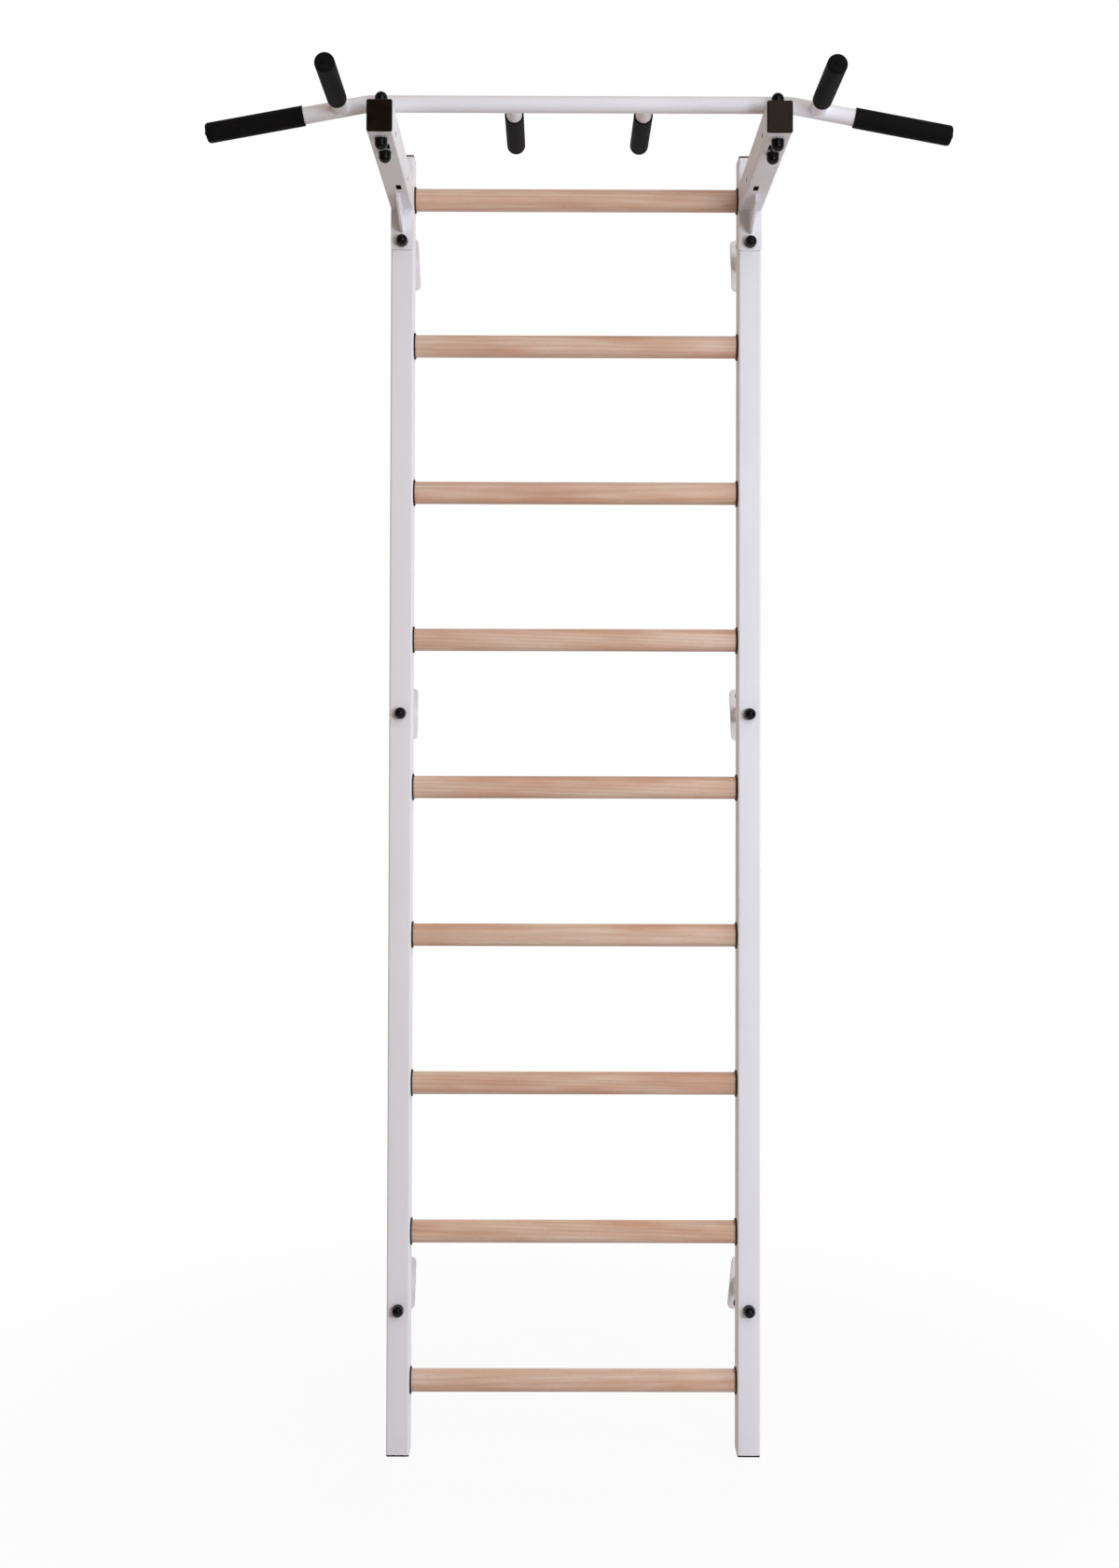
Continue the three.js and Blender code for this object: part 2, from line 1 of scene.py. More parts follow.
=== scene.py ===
"""Dresses the wall bars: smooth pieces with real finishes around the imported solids, and a pale studio.

Everything is in metres in the frame of the solids: the wall is y = 0, the floor is z = 0, +Z is up and the front of the
ladder looks to -Y. Sizes in the dataclasses are millimetres and are turned to metres by MM.
"""

import logging
import math
import random
from collections.abc import Callable, Iterator, Sequence
from contextlib import contextmanager
from dataclasses import dataclass, field
from enum import Enum
from itertools import pairwise

import bmesh
import bpy
from mathutils import Matrix, Vector

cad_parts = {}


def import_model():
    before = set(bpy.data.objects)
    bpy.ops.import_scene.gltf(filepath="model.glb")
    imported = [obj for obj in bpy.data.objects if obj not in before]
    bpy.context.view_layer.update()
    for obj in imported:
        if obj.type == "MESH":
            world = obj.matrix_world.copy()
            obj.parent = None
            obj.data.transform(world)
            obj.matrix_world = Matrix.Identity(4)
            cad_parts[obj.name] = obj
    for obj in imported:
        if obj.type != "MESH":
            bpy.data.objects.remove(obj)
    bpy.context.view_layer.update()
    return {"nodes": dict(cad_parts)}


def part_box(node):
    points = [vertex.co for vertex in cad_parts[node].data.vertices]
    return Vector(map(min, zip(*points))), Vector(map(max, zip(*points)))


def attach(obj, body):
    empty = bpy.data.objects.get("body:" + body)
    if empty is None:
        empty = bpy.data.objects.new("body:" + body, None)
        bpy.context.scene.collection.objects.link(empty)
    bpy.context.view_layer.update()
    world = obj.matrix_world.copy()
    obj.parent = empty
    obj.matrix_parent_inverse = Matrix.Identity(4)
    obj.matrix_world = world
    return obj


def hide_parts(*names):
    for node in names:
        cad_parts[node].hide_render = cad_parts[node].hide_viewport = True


LOG = logging.getLogger("wall_bars")
MM = 0.001
FRAME_BODY = "frame"
FULL_TURN = 2 * math.pi
SAME_PLACE = 1e-6

Place = tuple[float, float, float]
Profile = list[tuple[float, float]]


class Element(Enum):
    """What a selection is made of in edit mode."""

    POINT = "VERT"
    EDGE = "EDGE"
    FACE = "FACE"


class Side(Enum):
    """The two halves of the ladder, with the sign of their X."""

    LEFT = -1
    RIGHT = 1

    @property
    def word(self) -> str:
        """The side as it stands in the nodes' names."""
        return self.name.lower()


class Row(Enum):
    """The three heights at which brackets hold the ladder to the wall."""

    BOTTOM = "bottom"
    MIDDLE = "middle"
    TOP = "top"


class Slot(Enum):
    """The record's material slots."""

    PAINT = "white_paint"
    BEECH = "beech"
    PLASTIC = "black_plastic"
    BOLT = "black_bolt"
    FOAM = "black_foam"


# Colours and shader nodes


def linear(code: str) -> tuple[float, float, float, float]:
    """Turns an sRGB hex colour to the linear values that the shaders take.

    Args:
        code: The colour as "#rrggbb".

    Returns:
        Linear red, green, blue and an alpha of one.
    """
    channels = [int(code[i : i + 2], 16) / 255 for i in (1, 3, 5)]
    r, g, b = (c / 12.92 if c <= 0.04045 else ((c + 0.055) / 1.055) ** 2.4 for c in channels)
    return r, g, b, 1.0


def per(size: float) -> float:
    """Gives the scale of a pattern whose marks are as wide as a size.

    Args:
        size: Width of one mark in millimetres.

    Returns:
        Marks per metre.
    """
    return 1 / (size * MM)


def add_node(
    tree: bpy.types.NodeTree,
    kind: str,
    settings: dict[str | int, object] | None = None,
    links: dict[str | int, bpy.types.NodeSocket] | None = None,
) -> bpy.types.Node:
    """Adds one node with its settings and links.

    Args:
        tree: The node tree of a material or of the world.
        kind: The node's type name.
        settings: Properties by name, and input values by name or number.
        links: Output sockets by the name or number of the input that they feed.

    Returns:
        The new node.
    """
    node = tree.nodes.new(kind)
    for key, value in (settings or {}).items():
        if isinstance(key, str) and hasattr(node, key):
            setattr(node, key, value)
        else:
            node.inputs[key].default_value = value
    for key, socket in (links or {}).items():
        tree.links.new(socket, node.inputs[key])
    return node


# Finishes


@dataclass(frozen=True)
class Finish:
    """A named finish that makes its material the first time it is asked for."""

    name: str
    slot: Slot | None

    def material(self) -> bpy.types.Material:
        """Gives the finish's material.

        Returns:
            The material, made on the first call.
        """
        found = bpy.data.materials.get(self.name)
        if found:
            return found
        made = bpy.data.materials.new(self.name)
        made.use_nodes = True
        made.node_tree.nodes.clear()
        shader = self.shade(made.node_tree)
        add_node(made.node_tree, "ShaderNodeOutputMaterial", links={"Surface": shader.outputs[0]})
        return made

    def shade(self, tree: bpy.types.NodeTree) -> bpy.types.Node:
        """Builds the finish's shader.

        Args:
            tree: The material's empty node tree.

        Returns:
            The node whose first output is the surface.
        """
        raise NotImplementedError


@dataclass(frozen=True)
class PowderCoat(Finish):
    """White polyester powder coat, sprayed dry and baked on steel.

    The eye sees a cool white with a satin sheen, the faint dimples of orange peel and hardly any change of tone.
    """

    name: str = "powder_coat_white"
    slot: Slot | None = Slot.PAINT
    colour: str = "#e6e7ec"
    deep: str = "#dedfe5"
    cloud_mm: float = 120.0
    peel_mm: float = 1.8
    satin: tuple[float, float] = (0.52, 0.62)
    shine: float = 0.3

    def shade(self, tree: bpy.types.NodeTree) -> bpy.types.Node:
        """Builds the paint: a slow change of tone, and peel in the relief.

        Args:
            tree: The material's empty node tree.

        Returns:
            The Principled node.
        """
        place = add_node(tree, "ShaderNodeTexCoord").outputs["Object"]
        cloud = add_node(tree, "ShaderNodeTexNoise", {"Scale": per(self.cloud_mm), "Detail": 3.0}, {"Vector": place})
        peel = add_node(tree, "ShaderNodeTexNoise", {"Scale": per(self.peel_mm), "Detail": 1.0}, {"Vector": place})
        tone = add_node(
            tree,
            "ShaderNodeMix",
            {"data_type": "RGBA", 6: linear(self.colour), 7: linear(self.deep)},
            {0: cloud.outputs[0]},
        )
        sheen = add_node(tree, "ShaderNodeMapRange", {3: self.satin[0], 4: self.satin[1]}, {0: cloud.outputs[0]})
        relief = add_node(
            tree, "ShaderNodeBump", {"Strength": 0.06, "Distance": 0.2 * MM}, {"Height": peel.outputs[0]}
        )
        return add_node(
            tree,
            "ShaderNodeBsdfPrincipled",
            {"IOR": 1.5, "Specular IOR Level": self.shine},
            {"Base Color": tone.outputs[2], "Roughness": sheen.outputs[0], "Normal": relief.outputs[0]},
        )


@dataclass(frozen=True)
class Beech(Finish):
    """Steamed beech, planed, sanded and sealed with a clear satin varnish.

    The eye sees a pale pinkish brown with long soft growth lines, fine fibres and the short dark flecks that mark beech.
    Fibres and flecks are drawn about twice as wide as real ones, because the real ones would not show.
    """

    name: str = "beech_varnished"
    slot: Slot | None = Slot.BEECH
    early: str = "#dcc3b0"
    late: str = "#cba28a"
    line: str = "#b98b70"
    fleck: str = "#9c7158"
    ring_mm: float = 6.0
    fibre_mm: float = 0.9
    fleck_mm: float = 1.1
    tone_mm: float = 30.0

    def shade(self, tree: bpy.types.NodeTree) -> bpy.types.Node:
        """Builds the wood from each rung's place in the plank it was cut from.

        Args:
            tree: The material's empty node tree.

        Returns:
            The Principled node.
        """
        plank = add_node(tree, "ShaderNodeAttribute", {"attribute_name": Rungs.PLANK}).outputs["Vector"]
        lines = add_node(tree, "ShaderNodeMapping", {"Scale": (0.06, 1.0, 1.0)}, {"Vector": plank})
        threads = add_node(tree, "ShaderNodeMapping", {"Scale": (0.012, 1.0, 1.0)}, {"Vector": plank})
        dashes = add_node(tree, "ShaderNodeMapping", {"Scale": (0.11, 1.0, 1.0)}, {"Vector": plank})
        streaks = add_node(tree, "ShaderNodeMapping", {"Scale": (0.16, 1.0, 1.0)}, {"Vector": plank})
        slow = add_node(
            tree, "ShaderNodeTexNoise", {"Scale": per(self.tone_mm), "Detail": 2.0}, {"Vector": streaks.outputs[0]}
        )
        rings = add_node(
            tree,
            "ShaderNodeTexWave",
            {
                "wave_type": "RINGS",
                "rings_direction": "X",
                "Scale": FULL_TURN / (20 * self.ring_mm * MM),
                "Distortion": 7.0,
                "Detail": 2.0,
                "Detail Scale": 0.5,
                "Detail Roughness": 0.6,
            },
            {"Vector": lines.outputs[0]},
        )
        fibre = add_node(
            tree, "ShaderNodeTexNoise", {"Scale": per(self.fibre_mm), "Detail": 2.0}, {"Vector": threads.outputs[0]}
        )
        flecks = add_node(
            tree, "ShaderNodeTexNoise", {"Scale": per(self.fleck_mm), "Detail": 0.0}, {"Vector": dashes.outputs[0]}
        )
        drift = add_node(tree, "ShaderNodeMapRange", {1: 0.34, 2: 0.66, 3: 0.0, 4: 1.0}, {0: slow.outputs[0]})
        wood = add_node(
            tree,
            "ShaderNodeMix",
            {"data_type": "RGBA", 6: linear(self.early), 7: linear(self.late)},
            {0: drift.outputs[0]},
        )
        ringed = add_node(tree, "ShaderNodeMapRange", {1: 0.35, 2: 1.0, 3: 0.0, 4: 0.3}, {0: rings.outputs[1]})
        lined = add_node(
            tree,
            "ShaderNodeMix",
            {"data_type": "RGBA", 7: linear(self.line)},
            {0: ringed.outputs[0], 6: wood.outputs[2]},
        )
        thread = add_node(tree, "ShaderNodeMapRange", {1: 0.3, 2: 0.7, 3: 0.94, 4: 1.05}, {0: fibre.outputs[0]})
        combed = add_node(
            tree,
            "ShaderNodeMix",
            {"data_type": "RGBA", "blend_type": "MULTIPLY", 0: 1.0},
            {6: lined.outputs[2], 7: thread.outputs[0]},
        )
        dash = add_node(tree, "ShaderNodeMapRange", {1: 0.66, 2: 0.78, 3: 0.0, 4: 0.22}, {0: flecks.outputs[0]})
        marked = add_node(
            tree,
            "ShaderNodeMix",
            {"data_type": "RGBA", 7: linear(self.fleck)},
            {0: dash.outputs[0], 6: combed.outputs[2]},
        )
        sheen = add_node(tree, "ShaderNodeMapRange", {1: 0.3, 2: 0.7, 3: 0.42, 4: 0.56}, {0: fibre.outputs[0]})
        relief = add_node(
            tree, "ShaderNodeBump", {"Strength": 0.1, "Distance": 0.12 * MM}, {"Height": fibre.outputs[0]}
        )
        return add_node(
            tree,
            "ShaderNodeBsdfPrincipled",
            {"IOR": 1.5, "Coat Weight": 0.12, "Coat Roughness": 0.3},
            {"Base Color": marked.outputs[2], "Roughness": sheen.outputs[0], "Normal": relief.outputs[0]},
        )


@dataclass(frozen=True)
class MouldedPlastic(Finish):
    """Black polyamide from a mould, spark-grained for plugs and collars or polished for the dome caps.

    The eye sees a warm black, with a dull bloom where the mould was grained and a sharp highlight where it was polished.
    The grain of the mould is drawn a little coarser than it is, so that it shows.
    """

    name: str = "polyamide_grained"
    slot: Slot | None = Slot.PLASTIC
    colour: str = "#0d0906"
    bloom: str = "#1a120e"
    gloss: tuple[float, float] = (0.3, 0.4)
    grain_mm: float = 0.9
    cloud_mm: float = 14.0
    grain_depth: float = 0.1
    shine: float = 0.2
    # Warm specular tint: a painted reflection colour that stands in for warm surroundings mirrored in the plastic's
    # sheen.
    tint: str = "#ffdccf"

    def shade(self, tree: bpy.types.NodeTree) -> bpy.types.Node:
        """Builds the plastic: a cloudy black under the grain of the mould.

        Args:
            tree: The material's empty node tree.

        Returns:
            The Principled node.
        """
        place = add_node(tree, "ShaderNodeTexCoord").outputs["Object"]
        cloud = add_node(tree, "ShaderNodeTexNoise", {"Scale": per(self.cloud_mm), "Detail": 3.0}, {"Vector": place})
        grain = add_node(tree, "ShaderNodeTexNoise", {"Scale": per(self.grain_mm), "Detail": 2.0}, {"Vector": place})
        spread = add_node(tree, "ShaderNodeMapRange", {1: 0.35, 2: 0.75, 3: 0.0, 4: 1.0}, {0: cloud.outputs[0]})
        tone = add_node(
            tree,
            "ShaderNodeMix",
            {"data_type": "RGBA", 6: linear(self.colour), 7: linear(self.bloom)},
            {0: spread.outputs[0]},
        )
        sheen = add_node(tree, "ShaderNodeMapRange", {3: self.gloss[0], 4: self.gloss[1]}, {0: cloud.outputs[0]})
        relief = add_node(
            tree,
            "ShaderNodeBump",
            {"Strength": self.grain_depth, "Distance": 0.1 * MM},
            {"Height": grain.outputs[0]},
        )
        return add_node(
            tree,
            "ShaderNodeBsdfPrincipled",
            {"IOR": 1.45, "Specular IOR Level": self.shine, "Specular Tint": linear(self.tint)},
            {"Base Color": tone.outputs[2], "Roughness": sheen.outputs[0], "Normal": relief.outputs[0]},
        )


@dataclass(frozen=True)
class PlatedSteel(Finish):
    """Bright zinc on turned steel, for washers and bolts; also a near-black painted shade inside a tube, and bare cut
    steel darkened with painted shade in holes.

    The eye sees a cool grey metal with the faint rings and cloudy patches that the bath leaves.
    """

    name: str = "zinc_plated_steel"
    slot: Slot | None = None
    colour: str = "#c7cacd"
    patch: str = "#aeb2b7"
    gloss: tuple[float, float] = (0.24, 0.4)
    patch_mm: float = 5.0
    metal: float = 1.0

    def shade(self, tree: bpy.types.NodeTree) -> bpy.types.Node:
        """Builds the metal: patches of tone and of polish.

        Args:
            tree: The material's empty node tree.

        Returns:
            The Principled node.
        """
        place = add_node(tree, "ShaderNodeTexCoord").outputs["Object"]
        patch = add_node(tree, "ShaderNodeTexNoise", {"Scale": per(self.patch_mm), "Detail": 4.0}, {"Vector": place})
        tone = add_node(
            tree,
            "ShaderNodeMix",
            {"data_type": "RGBA", 6: linear(self.colour), 7: linear(self.patch)},
            {0: patch.outputs[0]},
        )
        sheen = add_node(tree, "ShaderNodeMapRange", {3: self.gloss[0], 4: self.gloss[1]}, {0: patch.outputs[0]})
        return add_node(
            tree,
            "ShaderNodeBsdfPrincipled",
            {"Metallic": self.metal},
            {"Base Color": tone.outputs[2], "Roughness": sheen.outputs[0]},
        )


@dataclass(frozen=True)
class GripFoam(Finish):
    """Closed-cell rubber foam with a moulded skin, as on handlebar grips.

    The eye sees a soft dull black with tiny pits, a little paler where the light grazes it.
    The cells are drawn about twice their size, so that they show.
    """

    name: str = "grip_foam"
    slot: Slot | None = Slot.FOAM
    colour: str = "#090809"
    worn: str = "#141214"
    cell_mm: float = 1.3
    cloud_mm: float = 18.0

    def shade(self, tree: bpy.types.NodeTree) -> bpy.types.Node:
        """Builds the foam: cloudy black with pits.

        Args:
            tree: The material's empty node tree.

        Returns:
            The Principled node.
        """
        place = add_node(tree, "ShaderNodeTexCoord").outputs["Object"]
        cells = add_node(tree, "ShaderNodeTexVoronoi", {"Scale": per(self.cell_mm)}, {"Vector": place})
        cloud = add_node(tree, "ShaderNodeTexNoise", {"Scale": per(self.cloud_mm), "Detail": 4.0}, {"Vector": place})
        tone = add_node(
            tree,
            "ShaderNodeMix",
            {"data_type": "RGBA", 6: linear(self.colour), 7: linear(self.worn)},
            {0: cloud.outputs[0]},
        )
        dull = add_node(tree, "ShaderNodeMapRange", {3: 0.68, 4: 0.9}, {0: cells.outputs["Distance"]})
        relief = add_node(
            tree, "ShaderNodeBump", {"Strength": 0.35, "Distance": 0.25 * MM}, {"Height": cells.outputs["Distance"]}
        )
        return add_node(
            tree,
            "ShaderNodeBsdfPrincipled",
            {"IOR": 1.4, "Specular IOR Level": 0.15, "Sheen Weight": 0.01, "Sheen Roughness": 0.5},
            {"Base Color": tone.outputs[2], "Roughness": dull.outputs[0], "Normal": relief.outputs[0]},
        )


PAINT = PowderCoat()
BEECH = Beech()
PLASTIC = MouldedPlastic()
POLISHED = MouldedPlastic(
    name="polyamide_polished",
    slot=Slot.BOLT,
    colour="#0d0b0b",
    bloom="#161313",
    gloss=(0.2, 0.28),
    grain_depth=0.02,
    shine=0.18,
    tint="#ffffff",
)
MATT = MouldedPlastic(
    name="polyamide_matt",
    colour="#0c0907",
    bloom="#17110e",
    gloss=(0.5, 0.62),
    shine=0.5,
    tint="#ffffff",
)
ZINC = PlatedSteel()
BLACK_ZINC = PlatedSteel(
    name="black_zinc_steel",
    colour="#2c2a29",
    patch="#1f1d1c",
    gloss=(0.35, 0.5),
)
# Bare steel of the cut screw holes, darkened and warmed to also paint the shade that falls in the holes.
CUT_STEEL_AND_SHADE = PlatedSteel(
    name="cut_steel_and_painted_shade",
    colour="#7d736b",
    patch="#675e58",
    gloss=(0.4, 0.55),
)
# Near-black painted shade for the inside of the arms' tubes, their strap slots and their peg holes, not a real steel
# colour.
PAINTED_SHADE_INSIDE = PlatedSteel(
    name="painted_shade_inside",
    colour="#1c1a19",
    patch="#2b2725",
    gloss=(0.5, 0.7),
    patch_mm=9.0,
    metal=0.0,
)
FOAM = GripFoam()


# Making and placing pieces


def deselect() -> None:
    """Leaves nothing selected, so that an operator acts on the new piece alone."""
    bpy.ops.object.select_all(action="DESELECT")


def only(piece: bpy.types.Object) -> None:
    """Selects one piece alone and makes it the active one."""
    deselect()
    piece.select_set(True)
    bpy.context.view_layer.objects.active = piece


@contextmanager
def editing(piece: bpy.types.Object) -> Iterator[None]:
    """Opens one piece in edit mode and closes it again.

    Args:
        piece: The mesh to edit.

    Returns:
        A context in which edit operators act on the piece.
    """
    only(piece)
    bpy.ops.object.mode_set(mode="EDIT")
    yield
    bpy.ops.object.mode_set(mode="OBJECT")


def pick(piece: bpy.types.Object, element: Element, test: Callable[[object], bool]) -> None:
    """Selects what passes a test, in edit mode.

    Args:
        piece: The mesh in edit mode.
        element: Whether points, edges or faces are tested.
        test: Says whether a bmesh element belongs to the selection.
    """
    bpy.ops.mesh.select_mode(type=element.value)
    bpy.ops.mesh.select_all(action="DESELECT")
    mesh = bmesh.from_edit_mesh(piece.data)
    for item in {Element.POINT: mesh.verts, Element.EDGE: mesh.edges, Element.FACE: mesh.faces}[element]:
        item.select_set(test(item))
    mesh.select_flush_mode()
    bmesh.update_edit_mesh(piece.data)


def middle(edge: bmesh.types.BMEdge) -> Vector:
    """Gives the middle of an edge."""
    return (edge.verts[0].co + edge.verts[1].co) / 2


def run(edge: bmesh.types.BMEdge) -> Vector:
    """Gives the way that an edge points, without its sign."""
    way = (edge.verts[1].co - edge.verts[0].co).normalized()
    return Vector((abs(way.x), abs(way.y), abs(way.z)))


def rounded(piece: bpy.types.Object, test: Callable[[object], bool], width: float, steps: int) -> None:
    """Rounds the edges that pass a test.

    Args:
        piece: The mesh, in object mode.
        test: Says whether an edge is rounded.
        width: Radius in millimetres.
        steps: Facets on each round.
    """
    with editing(piece):
        pick(piece, Element.EDGE, test)
        bpy.ops.mesh.bevel(offset=width * MM, segments=steps, profile=0.5, affect="EDGES")


def block(name: str, size: Place, middle_at: Place) -> bpy.types.Object:
    """Adds a block whose edges are still sharp.

    Args:
        name: The piece's name.
        size: Width, depth and height in millimetres.
        middle_at: Its middle in millimetres.

    Returns:
        The block, with its place in its mesh.
    """
    deselect()
    bpy.ops.mesh.primitive_cube_add(size=MM, location=Vector(middle_at) * MM)
    piece = bpy.context.object
    piece.name = name
    piece.scale = size
    bpy.ops.object.transform_apply(location=True, rotation=True, scale=True)
    return piece


def turned(name: str, profile: Profile, sides: int) -> bpy.types.Object:
    """Spins a profile about Z, as on a lathe.

    Args:
        name: The piece's name.
        profile: Pairs of radius and height in millimetres. It ends where it began, or on the axis.
        sides: Facets round the piece.

    Returns:
        The closed piece.
    """
    deselect()
    bpy.ops.mesh.primitive_plane_add(size=MM)
    piece = bpy.context.object
    piece.name = name
    with editing(piece):
        bpy.ops.mesh.select_mode(type=Element.POINT.value)
        bpy.ops.mesh.select_all(action="SELECT")
        bpy.ops.mesh.merge(type="CENTER")
        bpy.ops.transform.translate(value=(profile[0][0] * MM, 0, profile[0][1] * MM))
        for (r0, z0), (r1, z1) in pairwise(profile):
            step = ((r1 - r0) * MM, 0, (z1 - z0) * MM)
            bpy.ops.mesh.extrude_vertices_move(TRANSFORM_OT_translate={"value": step})
        bpy.ops.mesh.select_all(action="SELECT")
        bpy.ops.mesh.remove_doubles(threshold=SAME_PLACE)
        bpy.ops.mesh.select_all(action="SELECT")
        bpy.ops.mesh.spin(steps=sides, angle=FULL_TURN, center=(0, 0, 0), axis=(0, 0, 1))
        bpy.ops.mesh.select_all(action="SELECT")
        bpy.ops.mesh.remove_doubles(threshold=SAME_PLACE)
        bpy.ops.mesh.normals_make_consistent(inside=False)
    return piece


def arc(centre: tuple[float, float], radius: float, start: float, end: float, steps: int) -> Profile:
    """Gives the points of a round in a profile.

    Args:
        centre: Radius and height of the round's centre, in millimetres.
        radius: The round's radius in millimetres.
        start: First angle in degrees, from straight out towards up.
        end: Last angle in degrees.
        steps: Facets on the round.

    Returns:
        The points from the first angle to the last.
    """
    angles = [math.radians(start + (end - start) * i / steps) for i in range(steps + 1)]
    return [(centre[0] + radius * math.cos(a), centre[1] + radius * math.sin(a)) for a in angles]


def settle(piece: bpy.types.Object, matrix: Matrix) -> bpy.types.Object:
    """Puts a piece in its place and applies that place to its mesh.

    Args:
        piece: A piece at the origin.
        matrix: Where it goes.

    Returns:
        The same piece.
    """
    only(piece)
    piece.matrix_world = matrix
    bpy.ops.object.transform_apply(location=True, rotation=True, scale=True)
    return piece


def copied(master: bpy.types.Object, name: str, matrix: Matrix) -> bpy.types.Object:
    """Copies a piece, with a mesh of its own, to a place.

    Args:
        master: The piece that repeats, at the origin.
        name: The copy's name.
        matrix: Where the copy goes.

    Returns:
        The copy.
    """
    only(master)
    bpy.ops.object.duplicate(linked=False)
    piece = bpy.context.object
    piece.name = name
    piece.data.name = name
    return settle(piece, matrix)


def discard(*pieces: bpy.types.Object) -> None:
    """Removes masters and cutters that have done their work."""
    for piece in pieces:
        bpy.data.meshes.remove(piece.data)


def joined(name: str, pieces: Sequence[bpy.types.Object]) -> bpy.types.Object:
    """Joins pieces into one object.

    Args:
        name: The object's name.
        pieces: What is joined.

    Returns:
        The one object.
    """
    only(pieces[0])
    for piece in pieces[1:]:
        piece.select_set(True)
    bpy.ops.object.join()
    pieces[0].name = name
    pieces[0].data.name = name
    return pieces[0]


def carved(piece: bpy.types.Object, tool: bpy.types.Object, operation: str) -> None:
    """Cuts one solid from another or unites the two, and discards the tool.

    Args:
        piece: The solid that stays.
        tool: The solid that cuts or is added.
        operation: DIFFERENCE or UNION.
    """
    only(piece)
    bpy.ops.object.modifier_add(type="BOOLEAN")
    change = piece.modifiers[-1]
    change.operation = operation
    change.solver = "EXACT"
    change.object = tool
    bpy.ops.object.modifier_apply(modifier=change.name)
    discard(tool)


def smoothed(piece: bpy.types.Object, angle: float) -> None:
    """Shades the rounds smooth and keeps flat faces flat.

    Args:
        piece: A finished shape.
        angle: Edges sharper than this, in degrees, stay crisp.
    """
    only(piece)
    bpy.ops.object.shade_smooth_by_angle(angle=math.radians(angle))
    bpy.ops.object.modifier_add(type="WEIGHTED_NORMAL")
    piece.modifiers[-1].keep_sharp = True
    bpy.ops.object.modifier_apply(modifier=piece.modifiers[-1].name)


def stretched(piece: bpy.types.Object, half: float) -> None:
    """Pulls a round piece into an oval, by moving its upper half up and its lower half down.

    Args:
        piece: A piece turned about X.
        half: How far each half moves, in millimetres.
    """
    with editing(piece):
        for side in Side:
            pick(piece, Element.POINT, lambda point, s=side.value: point.co.z * s > SAME_PLACE)
            bpy.ops.transform.translate(value=(0, 0, side.value * half * MM))


def bead(name: str, start: Place, end: Place, radius: float) -> bpy.types.Object:
    """Lays a straight weld bead with its ripples.

    Args:
        name: The bead's name.
        start: Where it begins, in millimetres.
        end: Where it ends, in millimetres.
        radius: Half its width in millimetres.

    Returns:
        The closed bead.
    """
    first, last = Vector(start) * MM, Vector(end) * MM
    way = last - first
    ripples = max(4, round(way.length / (1.2 * radius * MM)))
    deselect()
    turn = way.to_track_quat("Z", "Y").to_euler()
    bpy.ops.mesh.primitive_circle_add(
        vertices=10, radius=0.6 * radius * MM, fill_type="NGON", location=first, rotation=turn
    )
    piece = bpy.context.object
    piece.name = name
    bpy.ops.object.transform_apply(location=True, rotation=True, scale=True)
    sizes = [0.6] + [1.0 if i % 2 else 0.86 for i in range(1, 2 * ripples)] + [0.6]
    with editing(piece):
        bpy.ops.mesh.select_mode(type=Element.FACE.value)
        bpy.ops.mesh.select_all(action="SELECT")
        for i, (now, then) in enumerate(pairwise(sizes)):
            bpy.ops.mesh.extrude_region_move(TRANSFORM_OT_translate={"value": way / (2 * ripples)})
            centre = first + way * (i + 1) / (2 * ripples)
            bpy.ops.transform.resize(value=(then / now,) * 3, center_override=centre)
        bpy.ops.mesh.select_all(action="SELECT")
        bpy.ops.mesh.normals_make_consistent(inside=False)
    smoothed(piece, 80)
    return piece


def finished(
    piece: bpy.types.Object, finish: Finish, body: str = FRAME_BODY, stands_for: str | None = None
) -> bpy.types.Object:
    """Gives a piece its finish and hands it to the frame.

    Args:
        piece: The finished shape, in its place.
        finish: What it is made of.
        body: The body that it moves with.
        stands_for: The node that it replaces, if there is one.

    Returns:
        The same piece.
    """
    if not piece.data.materials:
        piece.data.materials.append(finish.material())
    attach(piece, body)
    if stands_for:
        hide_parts(stands_for)
    LOG.info("%s on %s in %s, %d faces", piece.name, body, finish.name, len(piece.data.polygons))
    return piece


def centre_of(node: str) -> Vector:
    """Gives the middle of a node's box."""
    low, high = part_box(node)
    return (low + high) / 2


def merged_copy(source: bpy.types.Object, name: str) -> bpy.types.Object:
    """Copies a solid's triangles and joins them into whole faces.

    Args:
        source: The node's object, which is left alone.
        name: The copy's name.

    Returns:
        The copy.
    """
    piece = bpy.data.objects.new(name, source.data.copy())
    bpy.context.scene.collection.objects.link(piece)
    piece.data.name = name
    piece.data.materials.clear()
    only(piece)
    bpy.ops.mesh.customdata_custom_splitnormals_clear()
    with editing(piece):
        bpy.ops.mesh.select_all(action="SELECT")
        bpy.ops.mesh.remove_doubles(threshold=SAME_PLACE)
        bpy.ops.mesh.dissolve_limited(angle_limit=math.radians(0.5))
    return piece


# The ladder


@dataclass
class Uprights:
    """The two steel tubes, with their oval holes and bolt holes."""

    nodes: dict[str, bpy.types.Object]
    edge: float = 0.35
    crisp: float = 50.0

    def build(self) -> None:
        """Smooths both tubes and paints them."""
        for side in Side:
            node = f"{side.word}_upright"
            piece = merged_copy(self.nodes[node], f"{node}_tube")
            smoothed(piece, self.crisp)
            finished(piece, PAINT, stands_for=node)


